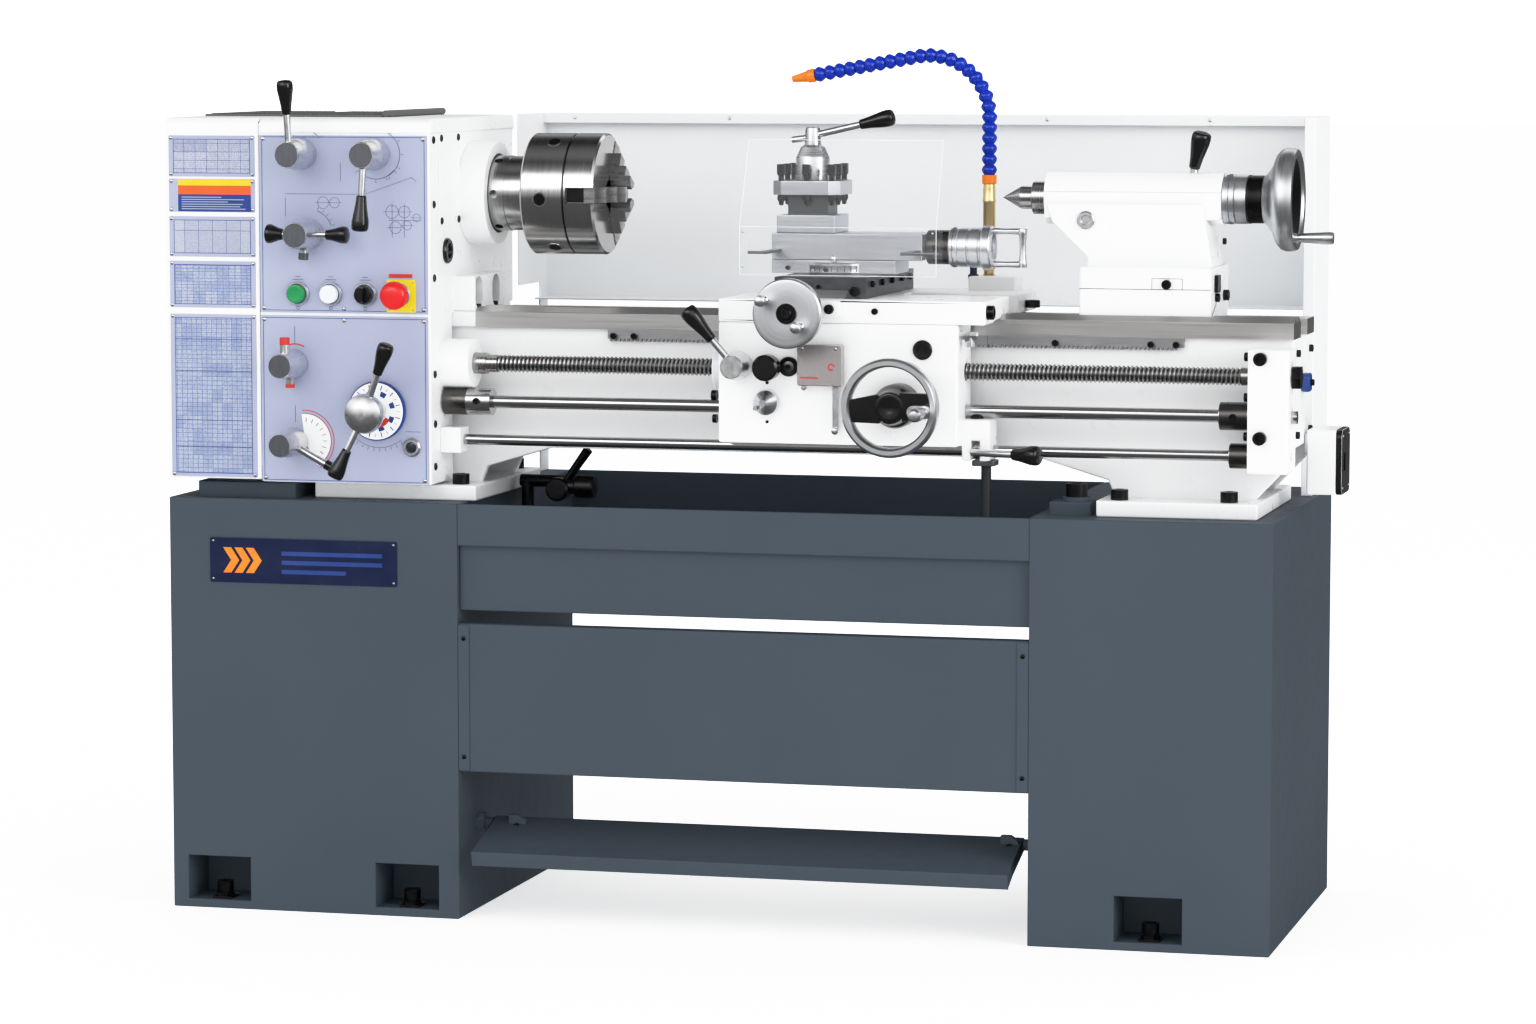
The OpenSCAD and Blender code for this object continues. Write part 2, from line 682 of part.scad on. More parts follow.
module end_bracket() {
    color("white") difference() {
        union() {
            box([bracket_x, bracket_x + bracket_w], [bracket_front, wall_front - 8.5],
                [control_z - 22, leadscrew_z + 38]);
            box([bracket_x, bracket_x + bracket_w - 4], [wall_front - 9, wall_front],
                [control_z - 10, leadscrew_z + 36]);
        }
        for (r = [[leadscrew_z, leadscrew_r], [feed_z, feed_rod_r], [control_z, control_rod_r]])
            rod_x([bracket_x - 1, bracket_x + bracket_w + 1], rod_y, r[0], r[1] + turn_gap);
        for (z = front_bracket_bolts()) rod_y(bracket_x + 18, [bracket_front - 1, bracket_front + 31], z, 6 + loose_gap);
    }
}
module switch_box() {
    box_x = [bed_end_x + 4, bed_end_x + 44];
    box_y = [axis_y + 8, axis_y + 88];
    box_z = [cabinet_h + 22, cabinet_h + 112];
    color("white") difference() {
        box(box_x, box_y, box_z);
        box([box_x[0] + sheet, box_x[1] + 1], [box_y[0] + sheet, box_y[1] - sheet],
            [box_z[0] + sheet, box_z[1] - sheet]);
    }
    color("white") box([bed_end_x, box_x[0]], [box_y[0] + 6, box_y[1] - 6], [bed_bottom + 8, box_z[1] - 6]);
    color("#2a2a2c") translate([box_x[1], (box_y[0] + box_y[1]) / 2, (box_z[0] + box_z[1]) / 2])
        rotate([0, 90, 0]) linear_extrude(9) rounded_square(box_z[1] - box_z[0], box_y[1] - box_y[0], 12);
}
module rounded_square(w, h, r) {
    square([w - 2 * r, h], center = true);
    square([w, h - 2 * r], center = true);
    for (x = [-1, 1]) for (y = [-1, 1]) translate([x * (w / 2 - r), y * (h / 2 - r)]) circle(r);
}

// ---------- drive inside the end cover ----------
function idler_at() = let (
        r1 = gear_module * (stud_teeth + idler_teeth) / 2,
        r2 = gear_module * (screw_teeth + idler_teeth) / 2,
        dy = input_y - stud_y, dz = input_z - stud_z,
        d = sqrt(dy * dy + dz * dz),
        a = (r1 * r1 - r2 * r2 + d * d) / (2 * d),
        h = sqrt(r1 * r1 - a * a))
    [stud_y + (a * dy - h * dz) / d, stud_z + (a * dz + h * dy) / d];
stud_to_idler = atan2(idler_at()[1] - stud_z, idler_at()[0] - stud_y);
idler_to_screw = atan2(input_z - idler_at()[1], input_y - idler_at()[0]);
idler_phase = mesh_phase(stud_to_idler, stud_teeth, 0, idler_teeth);
screw_phase = mesh_phase(idler_to_screw, idler_teeth, idler_phase, screw_teeth);
module train_gear(y, z, teeth, phase) {
    color("#8d8f92") {
        translate([gear_x, y, z]) gear(teeth, gear_t, phase);
        rod_x([gear_x - 10, head_x + 26], y, z, stud_shaft_r);
    }
}
module stud_gear() { train_gear(stud_y, stud_z, stud_teeth, 0); }
module idler_gear() { train_gear(idler_at()[0], idler_at()[1], idler_teeth, idler_phase); }
module screw_gear() { train_gear(input_y, input_z, screw_teeth, screw_phase); }
module v_pulley(x, y, z, r) {
    grooves = [
        [0, 0], [0, r], [3, r], [5, r - groove_depth], [9, r - groove_depth], [11, r], [15, r],
        [17, r - groove_depth], [21, r - groove_depth], [23, r], [pulley_w, r], [pulley_w, 0]
    ];
    turned_x(x, y, z, grooves);
}
module input_pulley() {
    color("#77797c") {
        v_pulley(pulley_x, belt_y, pulley_z, pulley_r);
        rod_x([pulley_x - 8, head_x + 26], belt_y, pulley_z, stud_shaft_r);
    }
}
motor_x = [head_x + 20, tray_x - 60];
module motor_pulley() {
    color("#77797c") {
        v_pulley(pulley_x, belt_y, motor_z, motor_pulley_r);
        rod_x([pulley_x - 8, motor_x[0] + 60], belt_y, motor_z, stud_shaft_r);
    }
}
module drive_belts() {
    belt_w = 3.2;
    inner = groove_depth - 0.6;
    outer = groove_depth - 6.5;
    color("#1d1d1f") for (x = [pulley_x + 5.4, pulley_x + 17.4])
        translate([x, 0, 0]) rotate([90, 0, 90]) linear_extrude(belt_w) difference() {
            hull() {
                translate([belt_y, pulley_z]) circle(pulley_r - outer);
                translate([belt_y, motor_z]) circle(motor_pulley_r - outer);
            }
            hull() {
                translate([belt_y, pulley_z]) circle(pulley_r - inner);
                translate([belt_y, motor_z]) circle(motor_pulley_r - inner);
            }
        }
}
module motor() {
    r = 82;
    color("#8a9096") difference() {
        union() {
            rod_x(motor_x, belt_y, motor_z, r);
            box([motor_x[0] + 30, motor_x[1] - 30], [belt_y, back_y - sheet], [motor_z - 50, motor_z + 50]);
            for (i = [0:5])
                rod_x([motor_x[0] + 24 + i * 30, motor_x[0] + 30 + i * 30], belt_y, motor_z, r + 5);
        }
        rod_x([motor_x[0] - 1, motor_x[0] + 80], belt_y, motor_z, stud_shaft_r + turn_gap);
    }
}
module end_cover() {
    x = [left_x, head_x - 1];
    y = [front_y, head_back];
    bottom = foot_top + 6;
    chamfer = 7;
    top = head_top + lid_h;
    color("white") {
        difference() {
            translate([x[0], 0, 0]) rotate([90, 0, 90]) linear_extrude(x[1] - x[0]) polygon([
                [y[0], bottom], [y[0], top - chamfer], [y[0] + chamfer, top],
                [y[1] - chamfer, top], [y[1], top - chamfer], [y[1], bottom]
            ]);
            box([x[0] + sheet, x[1] + 1], [y[0] + sheet, y[1] - sheet], [bottom - 1, top - chamfer - sheet]);
            rod_x([x[0] - 1, x[0] + sheet + 1], axis_y, spindle_z, spindle_bore_r + 6);
        }
        for (z = hinge_z) difference() {
            union() {
                rod_z(hinge_x, hinge_y, [z + 0.5, z + 29], hinge_pin_r + 4);
                box([hinge_x - 22, hinge_x - 3], [head_back - 1, hinge_y + 3], [z + 0.5, z + 29]);
            }
            rod_z(hinge_x, hinge_y, [z - 1, z + 31], hinge_pin_r + turn_gap);
        }
    }
}

// ---------- spindle and chuck ----------
module spindle() {
    color("#b8babd") difference() {
        turned_x(spindle_tail, axis_y, spindle_z, [
            [0, spindle_bore_r], [0, spindle_r], [flange_x - spindle_tail, spindle_r],
            [flange_x - spindle_tail, flange_r], [flange_end - spindle_tail, flange_r],
            [flange_end - spindle_tail, spindle_bore_r]
        ]);
        for (a = [30:60:330]) translate([flange_end - 14, axis_y, spindle_z])
            rotate([a, 0, 0]) translate([0, 0, flange_r - 14]) cylinder(h = 16, r = 6);
    }
}
jaw_angles = [180, 60, 300];
jaw_slot_depth = 40;
pinion_r = 9;
module chuck_body() {
    plate_r = flange_r - 1;
    color("#a9abad") {
        difference() {
            turned_x(flange_end, axis_y, spindle_z, [
                [0, chuck_bore_r], [0, plate_r], [chuck_x - flange_end - 5, plate_r],
                [chuck_x - flange_end - 5, plate_r - 8], [chuck_x - flange_end, plate_r - 8],
                [chuck_x - flange_end, chuck_r - 3], [chuck_x - flange_end + 3, chuck_r],
                [chuck_x - flange_end + 62, chuck_r], [chuck_x - flange_end + 62, chuck_r - 2],
                [chuck_x - flange_end + 65, chuck_r - 2], [chuck_x - flange_end + 65, chuck_r],
                [chuck_face - flange_end - 3, chuck_r], [chuck_face - flange_end, chuck_r - 3],
                [chuck_face - flange_end, chuck_bore_r]
            ]);
            for (a = jaw_angles) on_chuck(a)
                box([chuck_face - jaw_slot_depth, chuck_face + 1], [10, chuck_r + 2],
                    [-jaw_w / 2 - slide_gap, jaw_w / 2 + slide_gap]);
            for (a = jaw_angles) on_chuck(a + 60) translate([chuck_x + 42, chuck_r - 28, 0])
                rotate([-90, 0, 0]) cylinder(h = 40, r = pinion_r + loose_gap);
        }
        for (a = jaw_angles) on_chuck(a + 60) translate([chuck_x + 42, chuck_r - 28, 0])
            rotate([-90, 0, 0]) difference() {
                cylinder(h = 26, r = pinion_r);
                translate([-4, -4, 12]) cube([8, 8, 20]);
            }
    }
}
// Places its children with their +Y along the chuck radius at an angle
module on_chuck(angle) {
    translate([0, axis_y, spindle_z]) rotate([angle, 0, 0]) children();
}
module jaw(angle) {
    profile = [
        [chuck_face - jaw_slot_depth + 0.3, 24], [chuck_face - jaw_slot_depth + 0.3, 80],
        [chuck_face + 1, 80], [chuck_face + 1, 60], [chuck_face + 12, 60], [chuck_face + 12, 40],
        [chuck_face + 22, 40], [chuck_face + 22, 24], [chuck_face + 31, 24], [chuck_face + 31, 10],
        [chuck_face + 1, 10], [chuck_face + 1, 24]
    ];
    tip = 5;
    color("#8f9194") on_chuck(angle) difference() {
        translate([0, 0, -jaw_w / 2]) linear_extrude(jaw_w) polygon(profile);
        for (side = [-1, 1]) translate([chuck_face, 10, side * tip]) rotate([side * 30, 0, 0])
            box([-1, 40], [-30, 8], side < 0 ? [-30, 0] : [0, 30]);
    }
}
module chuck_jaw_1() { jaw(jaw_angles[0]); }
module chuck_jaw_2() { jaw(jaw_angles[1]); }
module chuck_jaw_3() { jaw(jaw_angles[2]); }

// ---------- rods ----------
rod_end = bracket_x + bracket_w;
module leadscrew() {
    color("#9a9c9e") {
        rod_x([head_end_x - 16, rod_end + 2], rod_y, leadscrew_z, leadscrew_r);
        rod_x([head_end_x + 47, head_end_x + 66], rod_y, leadscrew_z, leadscrew_r + 3);
        translate([rod_end + 1, rod_y, leadscrew_z]) rotate([0, 90, 0]) cylinder(h = 12, r = leadscrew_r + 4.5, $fn = 6);
    }
}
module feed_rod() {
    color("#9a9c9e") {
        rod_x([head_end_x - 16, rod_end + 8], rod_y, feed_z, feed_rod_r);
        rod_x([head_end_x + 1, head_end_x + 72], rod_y, feed_z, 19);
        rod_x([bracket_x - 41, bracket_x - 1], rod_y, feed_z, 19);
    }
}
module control_rod() {
    color("#9a9c9e") {
        rod_x([head_end_x - 16, rod_end - 2], rod_y, control_z, control_rod_r);
        rod_x([bracket_x - 27, bracket_x - 1], rod_y, control_z, 17);
    }
}

// ---------- levers and buttons ----------
// Shaft and hub of a panel lever; the shaft runs back through the panel
module lever_hub(at, hub_r, hub_len) {
    turned_front(at[0], panel_y - 0.5, at[1], [
        [0, 0], [0, hub_r], [hub_len * 0.55, hub_r], [hub_len * 0.6, hub_r * 0.94],
        [hub_len, hub_r * 0.88], [hub_len, 0]
    ]);
    rod_y(at[0], [panel_y - 1, front_y + casting_wall + 14], at[1], lever_shaft_r);
}
// Arm from a hub; angle 0 points up and positive angles lean to the right
module lever_arm(at, out, angle, reach, grip_len, grip_r, lean = 4) {
    translate([at[0], panel_y - out, at[1]]) rotate([0, angle, 0]) rotate([lean, 0, 0])
        arm_with_grip(reach, 5, grip_len, grip_r);
}
module speed_lever_left() {
    color("#c9cbcd") {
        lever_hub(speed_left, 21, 64);
        lever_arm(speed_left, 52, -2, 104, 46, 9);
    }
}
module speed_lever_right() {
    color("#c9cbcd") {
        lever_hub(speed_right, 21, 64);
        lever_arm(speed_right, 52, 182, 106, 50, 9);
    }
}
module range_lever() {
    color("#c9cbcd") {
        lever_hub(range_at, 21, 62);
        lever_arm(range_at, 44, -88, 46, 18, 12, 0);
        lever_arm(range_at, 26, 90, 64, 26, 10, 0);
        lever_arm(range_at, 20, 184, 36, 12, 7, 0);
    }
}
module feed_lever() {
    color("#c9cbcd") {
        lever_hub(feed_at, 20, 62);
        lever_arm(feed_at, 40, 0, 38, 18, 7, 0);
        lever_arm(feed_at, 14, 184, 30, 10, 6, 0);
    }
}
module thread_lever() {
    color("#c9cbcd") {
        lever_hub(thread_at, 19, 66);
        lever_arm(thread_at, 22, 118, 74, 14, 7, 0);
    }
}
module gearbox_lever() {
    color("#c9cbcd") {
        turned_front(gearbox_at[0], panel_y - 0.5, gearbox_at[1], [
            [0, 0], [0, 39], [6, 41], [12, 39], [12, 16], [46, 15], [52, 25], [60, 28], [70, 25], [76, 15], [76, 0]]);
        rod_y(gearbox_at[0], [panel_y - 1, front_y + casting_wall + 14], gearbox_at[1], lever_shaft_r);
        lever_arm(gearbox_at, 60, 21, 106, 46, 9, 6);
        lever_arm(gearbox_at, 60, 205, 100, 44, 9, 6);
    }
}
module button(at, cap_r, cap_len) {
    turned_front(at[0], panel_y - 6, at[1],
        [[0, 0], [0, cap_r], [cap_len - 1, cap_r], [cap_len, cap_r - 1], [cap_len, 0]]);
    rod_y(at[0], [panel_y - 7, front_y + casting_wall + 10], at[1], button_stem_r);
}
module start_button() { color("#2f9e62") button(start_at, 13, 8); }
module jog_button() { color("#eef2f6") button(jog_at, 13, 8); }
module selector_knob() {
    color("#1b1b1d") {
        button(selector_at, 13, 8);
        box([selector_at[0] - 3, selector_at[0] + 3], [panel_y - 24, panel_y - 13],
            [button_z - 11, button_z + 11]);
    }
}
module stop_button() {
    color("#d42420") {
        button(stop_at, 13, 12);
        turned_front(stop_at[0], panel_y - 17, button_z, [[0, 0], [0, 17], [4, 20], [10, 18], [14, 10], [15, 0]]);
    }
}

// ---------- carriage ----------
slot_r = cross_slide_w / 4;
module along_cross(y) {
    translate([cross_mid, y[1], saddle_top]) rotate([90, 0, 0]) linear_extrude(y[1] - y[0]) children();
}
saddle_back = axis_y + 160;
module saddle() {
    bottom = way_z + slide_gap;
    wing_back = axis_y - 30;
    color("white") difference() {
        union() {
            box([saddle_x, saddle_end], [saddle_front, wing_back], [bottom, saddle_top]);
            box([cross_x - 20, cross_x + cross_slide_w + 20], [wing_back - 1, axis_y + 36], [bottom, saddle_top]);
            box([saddle_x, saddle_end], [axis_y + 35, saddle_back], [bottom, saddle_top]);
            box([saddle_x, apron_end], [saddle_front, bed_front - 2], [way_z - 3, bottom + 1]);
            box([apron_end - 1, saddle_end], [saddle_front, bed_front - 40], [way_z - 3, bottom + 1]);
            box([saddle_end - 88, saddle_end - 20], [axis_y + 105, saddle_back], [saddle_top - 1, saddle_top + 20]);
            along_cross([cross_front + 30, saddle_back - 10]) dovetail(cross_slide_w - 50, 12);
            turned_front(cross_wheel_x, saddle_front + 1, screw_z, [[0, 0], [0, 16], [13, 15], [13, 0]]);
        }
        along_bed([saddle_x - 1, saddle_end + 1]) v_profile(carriage_v, slide_gap);
        along_bed([saddle_x - 1, saddle_end + 1]) v_profile(tailstock_v, 1);
        rod_y(cross_wheel_x, [saddle_front - 14, saddle_front + 60], screw_z, lever_shaft_r + turn_gap);
        rod_z(pipe_x, pipe_y, [saddle_top + 4, saddle_top + 21], pipe_r + turn_gap);
    }
}
cross_wheel_x = cross_mid - 23;
module apron() {
    wall = 10;
    block = [saddle_end - 48, saddle_end + 1];
    color("white") difference() {
        union() {
            box([saddle_x, apron_end], [saddle_front, apron_back], [apron_bottom, way_z - 3]);
            rod_x([saddle_x - 16, saddle_x + 1], rod_y, leadscrew_z, 30);
            box([apron_end - 1, block[1]], [rod_y - 26, rod_y + 22], [control_z - 13, control_z + 44]);
        }
        box([saddle_x + wall, apron_end - wall], [saddle_front + wall, apron_back + 1],
            [apron_bottom + wall, way_z - 3 - wall]);
        for (r = [[leadscrew_z, leadscrew_r], [feed_z, feed_rod_r], [control_z, control_rod_r]])
            rod_x([saddle_x - 17, saddle_end + 2], rod_y, r[0], r[1] + loose_gap);
        box([apron_end + 12, saddle_end - 14], [rod_y - 27, rod_y + 23], [control_z - 14, control_z + 15]);
        apron_shaft_hole(carriage_wheel_x, carriage_wheel_z);
        apron_shaft_hole(halfnut_at[0], halfnut_at[1]);
        apron_shaft_hole(feed_knob_at[0], feed_knob_at[1]);
        apron_shaft_hole(axis_knob_at[0], axis_knob_at[1]);
    }
    color("#b9b2ae") box([saddle_x + 117, saddle_x + 179], [saddle_front - 18, saddle_front],
        [leadscrew_z - 18, leadscrew_z + 38]);
}
module apron_shaft_hole(x, z) {
    rod_y(x, [saddle_front - 1, saddle_front + 11], z, lever_shaft_r + turn_gap);
}
halfnut_at = [saddle_x + 30, leadscrew_z + 7];
feed_knob_at = [saddle_x + 74, leadscrew_z + 6];
axis_knob_at = [saddle_x + 70, leadscrew_z - 43];
module apron_shaft(x, z) {
    rod_y(x, [saddle_front - 3, saddle_front + 24], z, lever_shaft_r);
}
module carriage_wheel() {
    front = saddle_front - 70;
    handle_r = carriage_wheel_r - 14;
    color("#c4c6c8") {
        difference() {
            turned_front(carriage_wheel_x, front + 22, carriage_wheel_z, [
                [0, carriage_wheel_r - 12], [0, carriage_wheel_r - 3], [4, carriage_wheel_r],
                [18, carriage_wheel_r], [22, carriage_wheel_r - 3], [22, carriage_wheel_r - 12]
            ]);
        }
        turned_front(carriage_wheel_x, saddle_front - 1, carriage_wheel_z, [
            [0, 0], [0, 30], [34, 30], [36, 24], [62, 22], [64, 18], [64, 0]]);
        difference() {
            translate([carriage_wheel_x, front + 18, carriage_wheel_z]) rotate([90, 0, 0])
                for (a = [-5, 175]) rotate([0, 0, a]) translate([10, -16, 0])
                    cube([carriage_wheel_r - 14, 32, 12]);
        }
        apron_shaft(carriage_wheel_x, carriage_wheel_z);
        turned_front(carriage_wheel_x + handle_r - 6, front + 8, carriage_wheel_z - 5, [
            [0, 0], [0, 9], [4, 9], [6, 6], [20, 9], [48, 10], [62, 7], [64, 0]]);
    }
}
module halfnut_lever() {
    color("#c9cbcd") {
        turned_front(halfnut_at[0], saddle_front - 0.5, halfnut_at[1], [[0, 0], [0, 19], [40, 18], [42, 16], [42, 0]]);
        apron_shaft(halfnut_at[0], halfnut_at[1]);
        translate([halfnut_at[0], saddle_front - 24, halfnut_at[1]]) rotate([0, -40, 0]) rotate([6, 0, 0])
            arm_with_grip(98, 5, 48, 10);
    }
}
module feed_knob() {
    color("#1b1b1d") {
        turned_front(feed_knob_at[0], saddle_front - 0.5, feed_knob_at[1],
            [[0, 0], [0, 14], [10, 14], [12, 18], [30, 18], [33, 15], [33, 0]]);
        apron_shaft(feed_knob_at[0], feed_knob_at[1]);
    }
}
module axis_knob() {
    color("#c9cbcd") {
        turned_front(axis_knob_at[0], saddle_front - 0.5, axis_knob_at[1],
            [[0, 0], [0, 17], [12, 17], [22, 8], [26, 5], [26, 0]]);
        apron_shaft(axis_knob_at[0], axis_knob_at[1]);
        rod_y(axis_knob_at[0] - 11, [saddle_front - 26, saddle_front - 6], axis_knob_at[1] - 7, 3);
    }
}
// Start lever on the control rod: a hub in the apron's fork, and an arm to the operator
module control_lever() {
    hub = [apron_end + 12.5, saddle_end - 14.5];
    mid = (hub[0] + hub[1]) / 2;
    elbow = 36;
    sweep = 72;
    color("#c9cbcd") difference() {
        union() {
            rod_x(hub, rod_y, control_z, 12);
            rod_y(mid, [rod_y - elbow, rod_y], control_z, 5);
            translate([mid, rod_y - elbow, control_z]) sphere(6);
            translate([mid, rod_y - elbow, control_z]) rotate([90, 0, sweep]) arm_with_grip(104, 5, 42, 11);
        }
        rod_x([hub[0] - 1, hub[1] + 1], rod_y, control_z, control_rod_r + loose_gap);
    }
}
module cross_slide() {
    y = [cross_front, cross_front + cross_slide_len];
    color("#5a5d61") difference() {
        box([cross_x, cross_x + cross_slide_w], y, [saddle_top + slide_gap, cross_top]);
        along_cross([y[0] - 1, y[1] + 1]) dovetail(cross_slide_w - 50, 12, slide_gap);
    }
}
module cross_wheel() {
    color("#d0d2d4") {
        turned_front(cross_wheel_x, saddle_front - 13, screw_z, [
            [0, 0], [0, 30], [14, 30], [16, 38], [34, 38], [36, cross_wheel_r - 3], [38, cross_wheel_r],
            [50, cross_wheel_r], [52, cross_wheel_r - 3], [52, 14], [56, 12], [56, 0]
        ]);
        rod_y(cross_wheel_x, [saddle_front - 14, saddle_front + 56], screw_z, lever_shaft_r);
        for (a = [150, 330]) translate([cross_wheel_x, saddle_front - 64, screw_z]) rotate([0, a, 0])
            translate([30, 0, 0]) rotate([90, 0, 0]) grip(26, 8);
    }
}
module swivel_base() {
    color("#b4b7ba") {
        rod_z(pivot_x, pivot_y, [cross_top + slide_gap, cross_top + 16], 49);
        box([slide_x, slide_end - 38], [post_y - top_slide_w / 2, post_y + top_slide_w / 2],
            [cross_top + slide_gap, swivel_top]);
        translate([0, post_y, swivel_top]) along_slide([slide_x, slide_end - 38]) dovetail(top_slide_w - 34, 10);
    }
}
module along_slide(x) {
    translate([x[0], 0, 0]) rotate([90, 0, 90]) linear_extrude(x[1] - x[0]) children();
}
module top_slide() {
    color("#aeb1b4") difference() {
        union() {
            box([slide_x, slide_end], [post_y - top_slide_w / 2, post_y + top_slide_w / 2],
                [swivel_top + slide_gap, slide_top]);
            rod_z(post_x, post_y, [slide_top - 1, slide_top + 72], post_stud_r);
        }
        translate([0, post_y, swivel_top]) along_slide([slide_x - 1, slide_end + 1]) dovetail(top_slide_w - 34, 10, slide_gap);
        rod_x([slide_end - 30, slide_end + 1], post_y, compound_z, lever_shaft_r + turn_gap);
    }
}
post_stud_r = 10;
module compound_wheel() {
    x = slide_end + slide_gap;
    bar_z = 23;
    color("#c4c6c8") {
        turned_x(x, post_y, compound_z, [
            [0, 0], [0, 24], [32, 24], [33, 27], [58, 28], [60, 26], [66, 28], [92, 28], [94, 24], [94, 0]]);
        rod_x([slide_end - 26, x + 1], post_y, compound_z, lever_shaft_r);
        for (s = [-1, 1]) rod_x([x + 92, x + 136], post_y, compound_z + s * bar_z, 4.5);
        box([x + 132, x + 140], [post_y - 6, post_y + 6], [compound_z - 28, compound_z + 28]);
    }
}
module tool_post() {
    base = 84;
    core = 58;
    base_h = 25;
    core_h = 28;
    plate_h = 20;
    z0 = slide_top + slide_gap;
    z1 = z0 + base_h;
    z2 = z1 + core_h;
    reach = tool_post_w / 2 - 9;
    color("#9da0a3") translate([post_x, post_y, 0]) {
        difference() {
            union() {
                translate([-base / 2, -base / 2, z0]) cube([base, base, base_h]);
                translate([-core / 2, -core / 2, z1 - 1]) cube([core, core, core_h + 2]);
                translate([0, 0, z2]) linear_extrude(plate_h) rounded_square(tool_post_w, tool_post_w, 12);
            }
            translate([0, 0, z0 - 1]) cylinder(h = base_h + core_h + plate_h + 2, r = post_stud_r + turn_gap);
            for (p = post_bolts(reach)) translate([p[0], p[1], z2 - 1]) cylinder(h = plate_h + 2, r = 5 + loose_gap);
        }
        for (p = post_bolts(reach)) translate([p[0], p[1], z2 + plate_h + 10]) {
            translate([-6.5, -6.5, 0]) cube([13, 13, 13]);
            translate([0, 0, -10]) cylinder(h = 11, r = 6.5);
            translate([0, 0, -45]) cylinder(h = 46, r = 5);
        }
    }
}
function post_bolts(r) = [
    for (x = [-1, 0, 1]) for (y = [-1, 0, 1]) if (x != 0 || y != 0) [x * r, y * r]];
module tool_lever() {
    z0 = slide_top + slide_gap + 73.2;
    color("#b4b7ba") difference() {
        union() {
            turned_z(post_x, post_y, z0, [[0, 0], [0, 24], [32, 24], [48, 16], [50, 12], [72, 11], [74, 9], [74, 0]]);
            translate([post_x, post_y, z0 + 62]) rotate([0, 77, 0]) arm_with_grip(120, 5, 40, 11);
            translate([post_x, post_y, z0 + 62]) rotate([0, -90, 0]) cylinder(h = 30, r = 4.5);
        }
        translate([post_x, post_y, z0 - 1]) cylinder(h = 20, r = post_stud_r + loose_gap);
    }
}
// Clear folded shield on two brackets from the top slide
module chip_shield() {
    t = 3;
    x = [slide_x - 18, slide_end + 44];
    y = post_y - 151;
    z = [cross_top + 2.5, slide_top + 13];
    lean = 22;
    upper = 128;
    side = 39;
    arm_w = 12;
    arm_z = [compound_z - 8, compound_z + 8];
    slide_front = post_y - top_slide_w / 2;
    left_arm = [slide_x + 2, slide_x + 2 + arm_w];
    right_arm = [slide_end - 2 - arm_w, slide_end - 2];
    color([0.85, 0.9, 0.92, 0.4]) {
        box(x, [y, y + t], z);
        for (edge = [x[0], x[1] - t]) box([edge, edge + t], [y + 1, y + side], z);
        translate([0, y, z[1] - 1]) rotate([-lean, 0, 0]) box(x, [0, t], [0, upper]);
    }
    color("#8a8d90") {
        box([x[0] + t, left_arm[1]], [y + side - 6, y + side], arm_z);
        box([right_arm[0], x[1] - t], [y + side - 6, y + side], arm_z);
        box(left_arm, [y + side - 1, slide_front], arm_z);
        box(right_arm, [y + side - 1, slide_front], arm_z);
    }
}

// ---------- coolant ----------
pipe_x = saddle_end - 64;
pipe_y = axis_y + 135;
pipe_r = 9;
ball_r = 10.5;
ball_pitch = 15;
// Supply hose from the apron's end block down into the trough
drop_x = saddle_end - 12;
drop_y = rod_y + 12;
drop_r = 7;
drop_bend = 32;
// Centre line of the ball-jointed hose as x, z offsets from the top of the pipe
hose_turn = 88;
hose_rise = 74;
hose_straight = 150;
hose_tilt = 10;
function hose_point(s) =
    s < hose_rise ? [0, s] :
    s < hose_rise + hose_turn * PI / 180 * (90 + hose_tilt) ?
        let (a = (s - hose_rise) / hose_turn * 180 / PI) [-hose_turn * (1 - cos(a)), hose_rise + hose_turn * sin(a)] :
        let (a = 90 + hose_tilt, d = s - hose_rise - hose_turn * PI / 180 * a)
            [-hose_turn * (1 - cos(a)) - d * sin(a), hose_rise + hose_turn * sin(a) + d * cos(a)];
hose_len = hose_rise + hose_turn * PI / 180 * (90 + hose_tilt) + hose_straight;
// Angle from upright of the hose at a distance along it
function hose_angle(s) = min(max(s - hose_rise, 0) / hose_turn * 180 / PI, 90 + hose_tilt);
hose_core_r = 7.5;
link_half = 6;
module hose_link() {
    turned_z(0, 0, -link_half, [
        [0, 0], [0, hose_core_r + 1], [3, ball_r], [2 * link_half - 3, ball_r], [2 * link_half, hose_core_r + 1],
        [2 * link_half, 0]
    ]);
}
